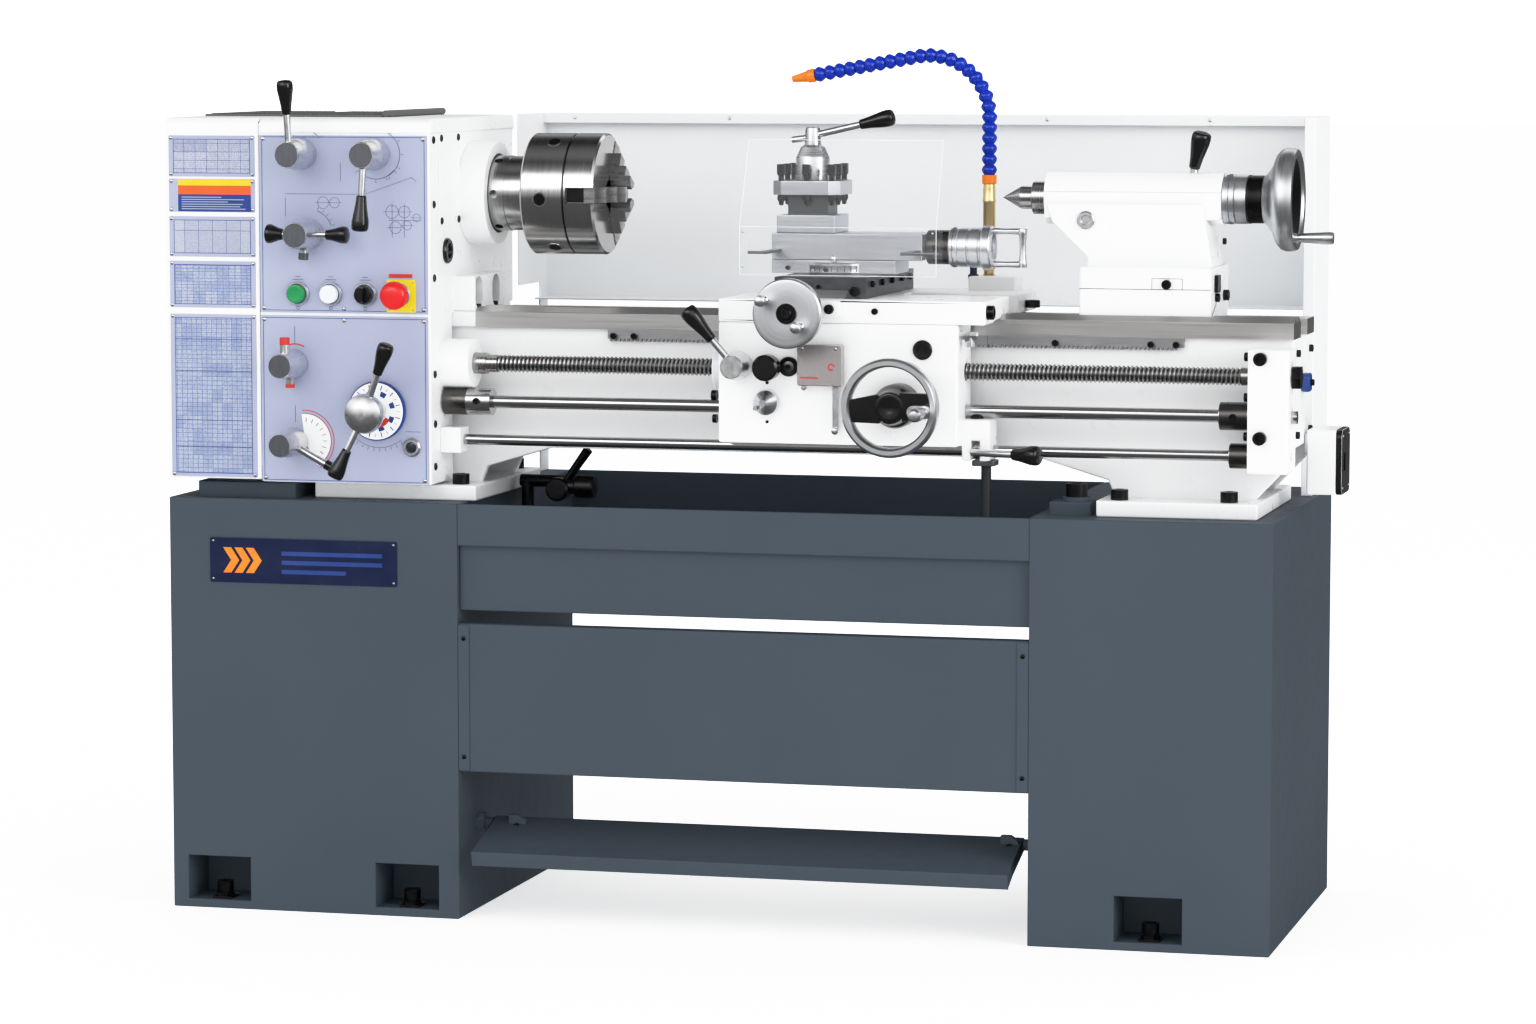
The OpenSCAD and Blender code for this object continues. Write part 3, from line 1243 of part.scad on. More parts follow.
// Core of the hose: a riser, a bend and a sloping straight
module hose_core(length) {
    bend_deg = 90 + hose_tilt;
    bend_end = hose_rise + hose_turn * PI / 180 * bend_deg;
    top = hose_point(bend_end);
    rod_z(0, 0, [-20, hose_rise], hose_core_r);
    translate([-hose_turn, 0, hose_rise]) rotate([90, 0, 0])
        rotate_extrude(angle = bend_deg) translate([hose_turn, 0]) circle(hose_core_r);
    translate([top[0], 0, top[1]]) rotate([0, -bend_deg, 0]) cylinder(h = length - bend_end, r = hose_core_r);
}
module coolant_hose() {
    pipe_top = saddle_top + 150;
    links = floor(hose_len / ball_pitch);
    color("#b79b57") {
        rod_z(pipe_x, pipe_y, [saddle_top + 5, pipe_top], pipe_r);
    }
    color("#1f43c8") {
        rod_z(pipe_x, pipe_y, [pipe_top, pipe_top + 13], 11);
        translate([pipe_x, pipe_y, pipe_top + 20]) {
            hose_core(links * ball_pitch);
            for (i = [0:links]) {
                p = hose_point(i * ball_pitch);
                translate([p[0], 0, p[1]]) rotate([0, -hose_angle(i * ball_pitch), 0]) hose_link();
            }
        }
    }
    end = hose_point(links * ball_pitch);
    color("#1b1b1d") {
        rod_z(pipe_x - 20, pipe_y - 12, [saddle_top + 20, saddle_top + 52], 5);
        translate([pipe_x - 20, pipe_y - 12, saddle_top + 52]) sphere(5.6);
        translate([pipe_x - 20, pipe_y - 12, saddle_top + 52]) rotate([0, 90, 31]) cylinder(h = 20, r = 5);
        rod_z(drop_x, drop_y, [cabinet_h - 62, control_z - 13], drop_r);
        translate([drop_x - drop_bend, drop_y, cabinet_h - 62]) rotate([-90, 0, 0])
            rotate_extrude(angle = 90) translate([drop_bend, 0]) circle(drop_r);
        rod_x([drop_x - drop_bend - 110, drop_x - drop_bend], drop_y, cabinet_h - 62 - drop_bend, drop_r);
    }
    color("#ef7d1a") translate([pipe_x + end[0], pipe_y, pipe_top + 20 + end[1]])
        rotate([0, -90 - hose_tilt, 0]) translate([0, 0, link_half]) turned_z(0, 0, 0, [[0, 0], [0, 10], [10, 9], [34, 4], [34, 0]]);
}
module coolant_valve() {
    x = tray_x + 92;
    y = axis_y + 30;
    z = cabinet_h + 14;
    body_y = [y - 60, back_y - 10 - sheet];
    color("#2b2b2d") {
        rod_x([tray_x + 24, x + 12], y, z, 9);
        rod_y(x, [y - 70, y + 1], z - 6, 13);
        rod_x([x - 2, x + 40], y - 56, z - 2, 10);
        translate([x + 6, y - 56, z]) rotate([0, 35, 0]) cylinder(h = 42, r = 5);
        rod_z(tray_x + 34, y, [cabinet_h - 110, z + 1], 9);
    }
}

// ---------- tailstock ----------
module tailstock() {
    split_z = way_z + 43;
    half_w = 62;
    body_w = 48;
    y = [axis_y - 75, axis_y + 75];
    color("white") {
        difference() {
            box([tailstock_x, tail_end], y, [way_z + slide_gap, split_z]);
            along_bed([tailstock_x - 1, tail_end + 1]) v_profile(carriage_v, 1);
            along_bed([tailstock_x - 1, tail_end + 1]) v_profile(tailstock_v, slide_gap);
        }
        difference() {
            union() {
                box([tailstock_x, tail_end], y, [split_z, split_z + 30]);
                translate([0, axis_y + body_w, 0]) rotate([90, 0, 0]) linear_extrude(2 * body_w) polygon([
                    [tailstock_x + 4, split_z + 29], [tailstock_x + 5, split_z + 42],
                    [barrel_x + 14, spindle_z - barrel_r + 4], [barrel_x + 4, spindle_z - 6],
                    [barrel_end - 24, spindle_z - 6], [tail_end - 3, split_z + 29]
                ]);
                rod_x([barrel_x, barrel_end], axis_y, spindle_z, barrel_r);
                box([barrel_x, barrel_end], [axis_y - barrel_r, axis_y + barrel_r], [spindle_z - barrel_r + 8, spindle_z + 10]);
            }
            rod_x([barrel_x - 1, barrel_end - 22], axis_y, spindle_z, quill_r + turn_gap);
            rod_x([barrel_end - 23, barrel_end + 1], axis_y, spindle_z, lever_shaft_r + turn_gap);
            rod_z(lock_x, axis_y, [spindle_z + quill_r + 1, spindle_z + barrel_r + 4], lock_r + turn_gap);
        }
    }
}
lock_x = barrel_end - 43;
lock_r = 6;
module quill() {
    back = barrel_end - 40;
    hollow = 11;
    color("#a9abad") difference() {
        turned_x(quill_x, axis_y, spindle_z, [[0, 9], [0, quill_r - 1], [1, quill_r], [back - quill_x, quill_r],
            [back - quill_x, hollow], [100, hollow], [80, 9]]);
    }
    color("#a9abad") turned_x(quill_x - 44, axis_y, spindle_z, [
        [0, 0], [27, 16], [43.7, 16], [43.7, 8.9], [100, 8.5], [100, 0]]);
}
module tailstock_wheel() {
    x = barrel_end + slide_gap;
    r = tailstock_wheel_r;
    handle = 235;
    color("#c4c6c8") {
        turned_x(x, axis_y, spindle_z, [
            [0, 0], [0, 34], [34, 34], [36, 33], [54, 33], [58, 36], [74, r - 6], [80, r], [98, r], [102, r - 4],
            [102, r - 10], [96, r - 14], [70, 28], [70, 16], [84, 14], [84, 0]
        ]);
        rod_x([barrel_end - 20, x + 1], axis_y, spindle_z, lever_shaft_r);
        turned_x(x + 96, axis_y + (r - 9) * cos(handle), spindle_z + (r - 9) * sin(handle), [
            [0, 0], [0, 6], [10, 6], [14, 7.5], [56, 9], [60, 8], [60, 0]]);
    }
}
module quill_lock() {
    color("#1b1b1d") {
        rod_z(lock_x, axis_y, [spindle_z + quill_r + 2, spindle_z + barrel_r + 8], lock_r);
        translate([lock_x, axis_y, spindle_z + barrel_r + 6]) rotate([8, 14, 0]) grip(52, 12);
    }
}

left_cabinet();
right_cabinet();
chip_tray();
brake_treadle();
socket_bolts();
bed();
rack();
headstock();
panel_plates();
splash_guard();
bearing_caps();
end_bracket();
motor();
drive_belts();
switch_box();
coolant_valve();
end_cover();
spindle();
chuck_body();
chuck_jaw_1();
chuck_jaw_2();
chuck_jaw_3();
stud_gear();
idler_gear();
screw_gear();
input_pulley();
motor_pulley();
leadscrew();
feed_rod();
control_rod();
speed_lever_left();
speed_lever_right();
range_lever();
feed_lever();
thread_lever();
gearbox_lever();
start_button();
jog_button();
selector_knob();
stop_button();
saddle();
apron();
carriage_wheel();
halfnut_lever();
feed_knob();
axis_knob();
control_lever();
cross_slide();
cross_wheel();
swivel_base();
top_slide();
compound_wheel();
tool_post();
tool_lever();
chip_shield();
coolant_hose();
tailstock();
quill();
tailstock_wheel();
quill_lock();
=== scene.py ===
import bpy
import bmesh
import math
from mathutils import Euler, Matrix, Vector


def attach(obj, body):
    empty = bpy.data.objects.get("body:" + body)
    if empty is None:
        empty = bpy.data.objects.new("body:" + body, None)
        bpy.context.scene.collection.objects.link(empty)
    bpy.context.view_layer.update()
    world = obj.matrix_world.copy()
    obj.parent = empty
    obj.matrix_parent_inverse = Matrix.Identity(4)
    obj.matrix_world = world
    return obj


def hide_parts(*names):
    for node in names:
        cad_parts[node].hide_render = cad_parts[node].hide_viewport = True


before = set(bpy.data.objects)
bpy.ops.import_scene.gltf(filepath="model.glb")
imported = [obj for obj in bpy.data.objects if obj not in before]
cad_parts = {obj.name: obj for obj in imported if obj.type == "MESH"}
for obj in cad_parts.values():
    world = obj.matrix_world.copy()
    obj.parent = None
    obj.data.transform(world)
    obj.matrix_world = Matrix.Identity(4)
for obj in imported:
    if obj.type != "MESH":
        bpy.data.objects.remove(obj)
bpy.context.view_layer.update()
scene = bpy.context.scene
mm = 0.001  # every piece below is measured in millimetres

# camera, lamps and floor
studio = {
    "eye": (1.8166, -6.7485, 1.2458), "turn": 14.545, "tilt": 5.608, "lens": 114.16, "backdrop": 1.6,
    "key": 56, "fill": 108, "rim": 12, "ambient": 0.9, "floor": (0.93, 0.93, 0.93), "floorGlow": 0.5,
    "floorMirror": 0.1,
}


def setCamera():
    data = bpy.data.cameras.new("frontView")
    data.sensor_width = 36
    data.lens = studio["lens"]
    data.clip_end = 100
    camera = bpy.data.objects.new("frontView", data)
    camera.location = studio["eye"]
    camera.rotation_euler = (math.radians(90 - studio["tilt"]), 0, math.radians(studio["turn"]))
    scene.collection.objects.link(camera)
    scene.camera = camera


def softLamp(name, place, target, size, power):
    data = bpy.data.lights.new(name, "AREA")
    data.shape = "RECTANGLE"
    data.size, data.size_y = size
    data.energy = power
    lamp = bpy.data.objects.new(name, data)
    lamp.location = place
    lamp.rotation_euler = (Vector(target) - Vector(place)).to_track_quat("-Z", "Y").to_euler()
    scene.collection.objects.link(lamp)


def setWorld():
    world = bpy.data.worlds.new("studioRoom")
    scene.world = world
    world.use_nodes = True
    tree = world.node_tree
    tree.nodes.clear()
    out = tree.nodes.new("ShaderNodeOutputWorld")
    back = tree.nodes.new("ShaderNodeBackground")
    ray = tree.nodes.new("ShaderNodeLightPath")
    coord = tree.nodes.new("ShaderNodeTexCoord")
    split = tree.nodes.new("ShaderNodeSeparateXYZ")
    ramp = tree.nodes.new("ShaderNodeValToRGB")
    mix = tree.nodes.new("ShaderNodeMix")
    mix.data_type = "RGBA"
    # bare metal mirrors a dark room with bright panels, while the walls light the paint evenly
    stops = ramp.color_ramp.elements
    stops[0].position, stops[0].color = 0.0, (0.3, 0.3, 0.3, 1)
    stops[1].position, stops[1].color = 1.0, (0.5, 0.5, 0.5, 1)
    for place, tone in ((0.47, 0.3), (0.5, 0.42), (0.56, 0.6), (0.64, 1.5), (0.76, 1.7), (0.84, 0.3),
                        (0.93, 0.06)):
        stop = stops.new(place)
        stop.color = (tone, tone, tone * 1.01, 1)
    half = tree.nodes.new("ShaderNodeMath")
    half.operation = "MULTIPLY_ADD"
    half.inputs[1].default_value = 0.5
    half.inputs[2].default_value = 0.5
    ahead = tree.nodes.new("ShaderNodeMapRange")
    for socket, value in (("From Min", -0.7), ("From Max", 0.3), ("To Min", 1.0), ("To Max", 0.22)):
        ahead.inputs[socket].default_value = value
    tree.links.new(split.outputs["Y"], ahead.inputs["Value"])
    facing = tree.nodes.new("ShaderNodeMix")
    facing.data_type = "RGBA"
    facing.blend_type = "MULTIPLY"
    facing.inputs["Factor"].default_value = 1.0
    tree.links.new(ahead.outputs[0], facing.inputs["B"])
    glossy = tree.nodes.new("ShaderNodeMix")
    glossy.data_type = "RGBA"
    glossy.inputs["A"].default_value = (studio["ambient"],) * 3 + (1,)
    tree.links.new(coord.outputs["Generated"], split.inputs[0])
    tree.links.new(split.outputs["Z"], half.inputs[0])
    tree.links.new(half.outputs[0], ramp.inputs[0])
    tree.links.new(ray.outputs["Is Glossy Ray"], glossy.inputs["Factor"])
    tree.links.new(ramp.outputs[0], facing.inputs["A"])
    tree.links.new(facing.outputs["Result"], glossy.inputs["B"])
    tree.links.new(ray.outputs["Is Camera Ray"], mix.inputs["Factor"])
    tree.links.new(glossy.outputs["Result"], mix.inputs["A"])
    mix.inputs["B"].default_value = (studio["backdrop"],) * 3 + (1,)
    tree.links.new(mix.outputs["Result"], back.inputs[0])
    tree.links.new(back.outputs[0], out.inputs[0])


setCamera()
setWorld()
softLamp("keyLamp", (-2.2, -5.2, 3.4), (0, 0, 0.7), (3.6, 2.4), studio["key"])
softLamp("fillLamp", (5.4, -2.8, 2.4), (0.2, 0, 0.7), (2.4, 3.2), studio["fill"])
softLamp("rimLamp", (0.6, 3.2, 3.6), (0, 0, 0.9), (3.0, 1.2), studio["rim"])
scene.view_settings.view_transform = "Standard"
# soft shoulder: lifts shaded paint and holds back the brightest
scene.view_settings.use_curve_mapping = True
tone = scene.view_settings.curve_mapping
tone.white_level = (1.5, 1.5, 1.5)
shoulder = tone.curves[3]
shoulder.points[1].location = (1.0, 1.0)
for x, y in ((0.1, 0.1), (0.2, 0.2), (0.4, 0.46), (0.6, 0.7), (0.8, 0.86), (1.0, 0.945), (1.25, 0.985)):
    shoulder.points.new(x / 1.5, y)
tone.update()
print("studio ready")

# finishes


def newFinish(name, rough, metal=0.0):
    finish = bpy.data.materials.new(name)
    finish.use_nodes = True
    tree = finish.node_tree
    tree.nodes.clear()
    out = tree.nodes.new("ShaderNodeOutputMaterial")
    shader = tree.nodes.new("ShaderNodeBsdfPrincipled")
    shader.inputs["Roughness"].default_value = rough
    shader.inputs["Metallic"].default_value = metal
    tree.links.new(shader.outputs[0], out.inputs[0])
    return finish, tree, shader


def wire(tree, kind, *links, **settings):
    node = tree.nodes.new("ShaderNode" + kind)
    for key, value in settings.items():
        setattr(node, key, value)
    for socket, value in links:
        if isinstance(value, bpy.types.NodeSocket):
            tree.links.new(value, node.inputs[socket])
        else:
            node.inputs[socket].default_value = value
    return node


def objectPlace(tree):
    return wire(tree, "TexCoord").outputs["Object"]


# grain that is stretched by a different amount along each axis
def grain(tree, stretch, detail=3.0):
    mapped = wire(tree, "Mapping", ("Vector", objectPlace(tree)), ("Scale", stretch))
    return wire(tree, "TexNoise", ("Vector", mapped.outputs[0]), ("Scale", 1.0),
                ("Detail", detail)).outputs["Fac"]


# lathe marks: grain by distance along and away from a line through centre
def ringGrain(tree, axis, centre, fine):
    moved = wire(tree, "VectorMath", (0, objectPlace(tree)), (1, [c * mm for c in centre]),
                 operation="SUBTRACT")
    split = wire(tree, "SeparateXYZ", (0, moved.outputs[0]))
    along = split.outputs["XYZ".index(axis)]
    flat = [1, 1, 1]
    flat["XYZ".index(axis)] = 0
    across = wire(tree, "VectorMath", (0, moved.outputs[0]), (1, flat), operation="MULTIPLY")
    radius = wire(tree, "VectorMath", (0, across.outputs[0]), operation="LENGTH")
    pair = wire(tree, "CombineXYZ", (0, along), (1, radius.outputs["Value"]))
    return wire(tree, "TexNoise", ("Vector", pair.outputs[0]), ("Scale", fine),
                ("Detail", 2.0)).outputs["Fac"]


def ramp(tree, source, low, high, lowAt=0.3, highAt=0.7):
    node = wire(tree, "ValToRGB", (0, source))
    stops = node.color_ramp.elements
    stops[0].position, stops[0].color = lowAt, (*low, 1) if len(low) == 3 else low
    stops[1].position, stops[1].color = highAt, (*high, 1) if len(high) == 3 else high
    return node.outputs[0]


def span(tree, source, low, high):
    return wire(tree, "MapRange", ("Value", source), ("From Min", 0.25), ("From Max", 0.75),
                ("To Min", low), ("To Max", high)).outputs[0]


def relief(tree, shader, height, strength, depth):
    bump = wire(tree, "Bump", ("Height", height), ("Strength", strength), ("Distance", depth * mm))
    tree.links.new(bump.outputs[0], shader.inputs["Normal"])


def shade(color, factor):
    return tuple(min(1.0, c * factor) for c in color)


def enamel(name, color, rough=0.32, peel=0.06, patch=0.05, gloss=0.5):
    finish, tree, shader = newFinish(name, rough)
    shader.inputs["Specular IOR Level"].default_value = gloss
    broad = grain(tree, (3, 3, 3), 4)
    tree.links.new(ramp(tree, broad, shade(color, 1 - patch), shade(color, 1 + patch)),
                   shader.inputs["Base Color"])
    tree.links.new(span(tree, grain(tree, (40, 40, 40), 4), rough - 0.05, rough + 0.07),
                   shader.inputs["Roughness"])
    relief(tree, shader, grain(tree, (420, 420, 420), 2), peel, 0.25)
    return finish


def turnedMetal(name, color, axis, centre, rough=0.24, fine=900, patch=0.16):
    finish, tree, shader = newFinish(name, rough, 1.0)
    marks = ringGrain(tree, axis, centre, fine)
    tree.links.new(ramp(tree, marks, shade(color, 1 - patch), shade(color, 1 + patch)),
                   shader.inputs["Base Color"])
    tree.links.new(span(tree, marks, rough - 0.07, rough + 0.1), shader.inputs["Roughness"])
    relief(tree, shader, marks, 0.12, 0.05)
    return finish


def groundMetal(name, color, stretch, rough=0.28, patch=0.14):
    finish, tree, shader = newFinish(name, rough, 1.0)
    marks = grain(tree, stretch, 4)
    tree.links.new(ramp(tree, marks, shade(color, 1 - patch), shade(color, 1 + patch)),
                   shader.inputs["Base Color"])
    tree.links.new(span(tree, marks, rough - 0.08, rough + 0.1), shader.inputs["Roughness"])
    relief(tree, shader, marks, 0.1, 0.05)
    return finish


def molded(name, color, rough=0.25, pebble=0.05, scale=700):
    finish, tree, shader = newFinish(name, rough)
    broad = grain(tree, (25, 25, 25), 3)
    tree.links.new(ramp(tree, broad, shade(color, 0.93), shade(color, 1.08)), shader.inputs["Base Color"])
    tree.links.new(span(tree, broad, rough - 0.04, rough + 0.08), shader.inputs["Roughness"])
    relief(tree, shader, grain(tree, (scale, scale, scale), 2), pebble, 0.2)
    return finish


def clearSheet(name):
    finish, tree, shader = newFinish(name, 0.05)
    scuffs = grain(tree, (30, 200, 30), 4)
    tree.links.new(ramp(tree, scuffs, (0.86, 0.9, 0.91), (0.95, 0.98, 0.99)), shader.inputs["Base Color"])
    tree.links.new(span(tree, scuffs, 0.03, 0.12), shader.inputs["Roughness"])
    shader.inputs["Alpha"].default_value = 0.028
    return finish


# printed table: thin rules around cells, with specks of ink in the cells
def printedTable(name, paper, ink, cell, inked, seed):
    finish, tree, shader = newFinish(name, 0.38)
    split = wire(tree, "SeparateXYZ", (0, objectPlace(tree)))
    flat = wire(tree, "CombineXYZ", (0, split.outputs["X"]), (1, split.outputs["Z"]), (2, seed)).outputs[0]
    rules = wire(tree, "TexBrick", ("Vector", flat), ("Scale", 1.0), ("Mortar Size", 0.0003),
                 ("Mortar Smooth", 0.0),
                 ("Brick Width", cell[0] * mm), ("Row Height", cell[1] * mm), ("Color1", (1, 1, 1, 1)),
                 ("Color2", (1, 1, 1, 1)), ("Mortar", (0, 0, 0, 1)), offset=0.0)
    glyphs = wire(tree, "TexBrick", ("Vector", flat), ("Scale", 1.0), ("Mortar Size", 0.00045),
                  ("Mortar Smooth", 0.0),
                  ("Brick Width", 0.0016), ("Row Height", 0.0027), ("Color1", (0, 0, 0, 1)),
                  ("Color2", (1, 1, 1, 1)),
                  ("Mortar", (1, 1, 1, 1)), offset=0.37)
    groups = wire(tree, "TexBrick", ("Vector", flat), ("Scale", 1.0), ("Mortar Size", 0.0002),
                  ("Brick Width", cell[0] * 2 * mm),
                  ("Row Height", cell[1] * 3 * mm), ("Color1", (0, 0, 0, 1)), ("Color2", (1, 1, 1, 1)),
                  ("Mortar", (1, 1, 1, 1)), offset=0.0)
    dots = ramp(tree, glyphs.outputs["Color"], (1 - inked,) * 3, (1, 1, 1), 0.35, 0.75)
    tint = ramp(tree, groups.outputs["Color"], (1 - inked * 0.35,) * 3, (1, 1, 1), 0.2, 0.6)
    printed = wire(tree, "Mix", ("Factor", 1.0), ("A", dots), ("B", tint), data_type="RGBA",
                   blend_type="MULTIPLY")
    both = wire(tree, "Mix", ("Factor", 1.0), ("A", rules.outputs["Color"]), ("B", printed.outputs["Result"]),
                data_type="RGBA", blend_type="DARKEN")
    shown = wire(tree, "Mix", ("Factor", both.outputs["Result"]), ("A", (*ink, 1)), ("B", (*paper, 1)),
                 data_type="RGBA")
    tree.links.new(shown.outputs["Result"], shader.inputs["Base Color"])
    return finish


# shared planes and lines of the machine
axisY, axisZ = -85, 1019  # spindle and quill
panelY, apronY, slideY = -282, -275, -95
spindleLine = (0, axisY, axisZ)
slate = enamel("slateEnamel", (0.056, 0.074, 0.095), 0.5, 0.08, 0.04, 0.14)
white = enamel("whiteEnamel", (0.86, 0.87, 0.875), 0.3, 0.04, 0.015, 0.4)
guardWhite = enamel("guardEnamel", (0.84, 0.855, 0.87), 0.34, 0.04, 0.015, 0.4)
panelGrey = enamel("panelPrint", (0.335, 0.36, 0.475), 0.36, 0.02, 0.06, 0.4)
paleGrey = enamel("paleEnamel", (0.62, 0.64, 0.66), 0.36, 0.05)
chuckSteel = turnedMetal("chuckSteel", (0.56, 0.55, 0.545), "X", spindleLine, 0.17, 700, 0.05)
noseSteel = turnedMetal("noseSteel", (0.50, 0.50, 0.50), "X", spindleLine, 0.2, 800, 0.08)
jawSteel = groundMetal("jawSteel", (0.40, 0.40, 0.405), (60, 300, 300), 0.3, 0.06)
wayGround = groundMetal("wayGround", (0.65, 0.64, 0.63), (5, 900, 900), 0.34, 0.035)
rackSteel = groundMetal("rackSteel", (0.44, 0.44, 0.45), (40, 400, 400), 0.42, 0.06)
slideSteel = groundMetal("slideSteel", (0.58, 0.59, 0.62), (12, 500, 500), 0.4, 0.05)
boxSteel = groundMetal("boxSteel", (0.60, 0.565, 0.565), (300, 300, 300), 0.42, 0.05)
threadSteel = groundMetal("threadSteel", (0.44, 0.43, 0.42), (300, 60, 60), 0.26, 0.06)
rodSteel = groundMetal("rodSteel", (0.52, 0.52, 0.525), (4, 500, 500), 0.2, 0.03)
gearSteel = turnedMetal("gearSteel", (0.36, 0.36, 0.37), "X", (0, -160, 825), 0.34, 600)
satin = groundMetal("satinChrome", (0.74, 0.745, 0.76), (160, 160, 160), 0.33, 0.04)
hubFace = groundMetal("hubFace", (0.20, 0.21, 0.23), (500, 40, 40), 0.4, 0.08)
darkIron = groundMetal("darkIron", (0.11, 0.115, 0.125), (50, 300, 300), 0.42)
blackSteel = groundMetal("blackSteel", (0.028, 0.028, 0.03), (120, 120, 120), 0.34)
oiledSteel = groundMetal("oiledSteel", (0.12, 0.115, 0.11), (60, 60, 60), 0.3, 0.05)
brass = groundMetal("brassTube", (0.74, 0.60, 0.31), (300, 300, 12), 0.36, 0.06)
gripBlack = molded("gripBlack", (0.006, 0.006, 0.0065), 0.13, 0.02)
rubber = molded("hoseRubber", (0.02, 0.021, 0.024), 0.5, 0.2, 500)
navyHose = molded("navyHose", (0.012, 0.02, 0.06), 0.35, 0.1)
matRubber = molded("matRubber", (0.12, 0.125, 0.13), 0.6, 0.3, 350)
linkBlue = molded("linkBlue", (0.001, 0.026, 0.36), 0.16, 0.02)
knobBlue = molded("knobBlue", (0.01, 0.05, 0.22), 0.3, 0.05)
nozzleOrange = molded("nozzleOrange", (0.85, 0.21, 0.01), 0.25, 0.03)
buttonGreen = molded("buttonGreen", (0.02, 0.26, 0.09), 0.2, 0.02)
buttonWhite = molded("buttonWhite", (0.72, 0.8, 0.84), 0.2, 0.02)
buttonRed = molded("buttonRed", (0.66, 0.012, 0.012), 0.22, 0.02)
plateYellow = molded("plateYellow", (0.80, 0.60, 0.01), 0.35, 0.03)
bandYellow = molded("bandYellow", (0.80, 0.50, 0.01), 0.35, 0.02)
bandOrange = molded("bandOrange", (0.72, 0.11, 0.01), 0.35, 0.02)
inkBlue = molded("inkBlue", (0.012, 0.045, 0.22), 0.35, 0.02)
inkGrey = molded("inkGrey", (0.11, 0.12, 0.17), 0.4, 0.02)
inkRed = molded("inkRed", (0.52, 0.03, 0.02), 0.4, 0.02)
plateNavy = molded("plateNavy", (0.006, 0.012, 0.05), 0.22, 0.02)
glassDark = molded("glassDark", (0.02, 0.025, 0.03), 0.06, 0.0)
shieldClear = clearSheet("shieldClear")
paper = (0.39, 0.415, 0.50)
tableFine = printedTable("tableFine", paper, (0.09, 0.14, 0.33), (9, 4.6), 0.8, 1.3)
tableSparse = printedTable("tableSparse", paper, (0.08, 0.10, 0.23), (21, 57), 0.35, 2.1)
tableDense = printedTable("tableDense", (0.36, 0.39, 0.49), (0.08, 0.13, 0.31), (7.5, 6.2), 0.75, 3.7)
tableHead = printedTable("tableHead", paper, (0.08, 0.10, 0.25), (17, 12), 0.7, 5.2)
print("finishes ready")

# mesh helpers; all take millimetres


def around(axis):
    a = Vector(axis).normalized()
    side = Vector((0, 0, 1)) if abs(a.z) < 0.9 else Vector((1, 0, 0))
    u = side.cross(a).normalized()
    return a, u, a.cross(u)


# profile holds (distance along the axis, radius); a profile off the axis closes into a ring
def turn(bm, centre, axis, profile, steps=48):
    a, u, v = around(axis)
    rings = []
    for along, radius in profile:
        mid = Vector(centre) + a * along
        if radius < 1e-6:
            rings.append([bm.verts.new(mid)])
        else:
            angles = [2 * math.pi * i / steps for i in range(steps)]
            rings.append([bm.verts.new(mid + (u * math.cos(t) + v * math.sin(t)) * radius) for t in angles])
    pairs = list(zip(rings, rings[1:]))
    if len(rings[0]) > 1 and len(rings[-1]) > 1:
        pairs.append((rings[-1], rings[0]))
    for low, high in pairs:
        for i in range(steps):
            j = (i + 1) % steps
            if len(low) == 1 and len(high) == 1:
                continue
            if len(low) == 1:
                bm.faces.new((low[0], high[j], high[i]))
            elif len(high) == 1:
                bm.faces.new((low[i], low[j], high[0]))
            else:
                bm.faces.new((low[i], low[j], high[j], high[i]))


def bar(bm, start, end, radius, steps=20, tip=None):
    axis = Vector(end) - Vector(start)
    turn(bm, start, axis, [(0, 0), (0, radius), (axis.length, radius if tip is None else tip),
                           (axis.length, 0)], steps)


def block(bm, low, high):
    corners = [bm.verts.new((x, y, z)) for x in (low[0], high[0]) for y in (low[1], high[1]) for z in (low[2],
            high[2])]
    for face in ((0, 1, 3, 2), (4, 6, 7, 5), (0, 4, 5, 1), (2, 3, 7, 6), (0, 2, 6, 4), (1, 5, 7, 3)):
        bm.faces.new([corners[i] for i in face])


# flat outline in the plane of u and v, given a thickness along u cross v
def slab(bm, outline, origin, u, v, thick):
    u, v = Vector(u), Vector(v)
    lift = u.cross(v).normalized() * thick
    low = [bm.verts.new(Vector(origin) + u * a + v * b) for a, b in outline]
    high = [bm.verts.new(p.co + lift) for p in low]
    bm.faces.new(low)
    bm.faces.new(high)
    for i in range(len(low)):
        j = (i + 1) % len(low)
        bm.faces.new((low[i], low[j], high[j], high[i]))


def roundedOutline(width, height, radius, steps=6):
    points = []
    for cx, cy, start in ((1, 1, 0), (-1, 1, 90), (-1, -1, 180), (1, -1, 270)):
        for i in range(steps + 1):
            t = math.radians(start + 90 * i / steps)
            points.append((cx * (width / 2 - radius) + radius * math.cos(t),
                           cy * (height / 2 - radius) + radius * math.sin(t)))
    return points


def sector(inner, outer, start, end, steps=24):
    angles = [math.radians(start + (end - start) * i / steps) for i in range(steps + 1)]
    return [(outer * math.cos(t), outer * math.sin(t)) for t in angles] + \
           [(inner * math.cos(t), inner * math.sin(t)) for t in reversed(angles)]


def hose(bm, points, radius, sides=14):
    points = [Vector(p) for p in points]
    side = None
    rings = []
    for i, p in enumerate(points):
        ahead = (points[min(i + 1, len(points) - 1)] - points[max(i - 1, 0)]).normalized()
        side = around(ahead)[1] if side is None else (side - ahead * side.dot(ahead)).normalized()
        other = ahead.cross(side)
        rings.append([bm.verts.new(p + (side * math.cos(t) + other * math.sin(t)) * radius)
                      for t in [2 * math.pi * k / sides for k in range(sides)]])
    for low, high in zip(rings, rings[1:]):
        for i in range(sides):
            j = (i + 1) % sides
            bm.faces.new((low[i], low[j], high[j], high[i]))
    bm.faces.new(rings[0])
    bm.faces.new(rings[-1])


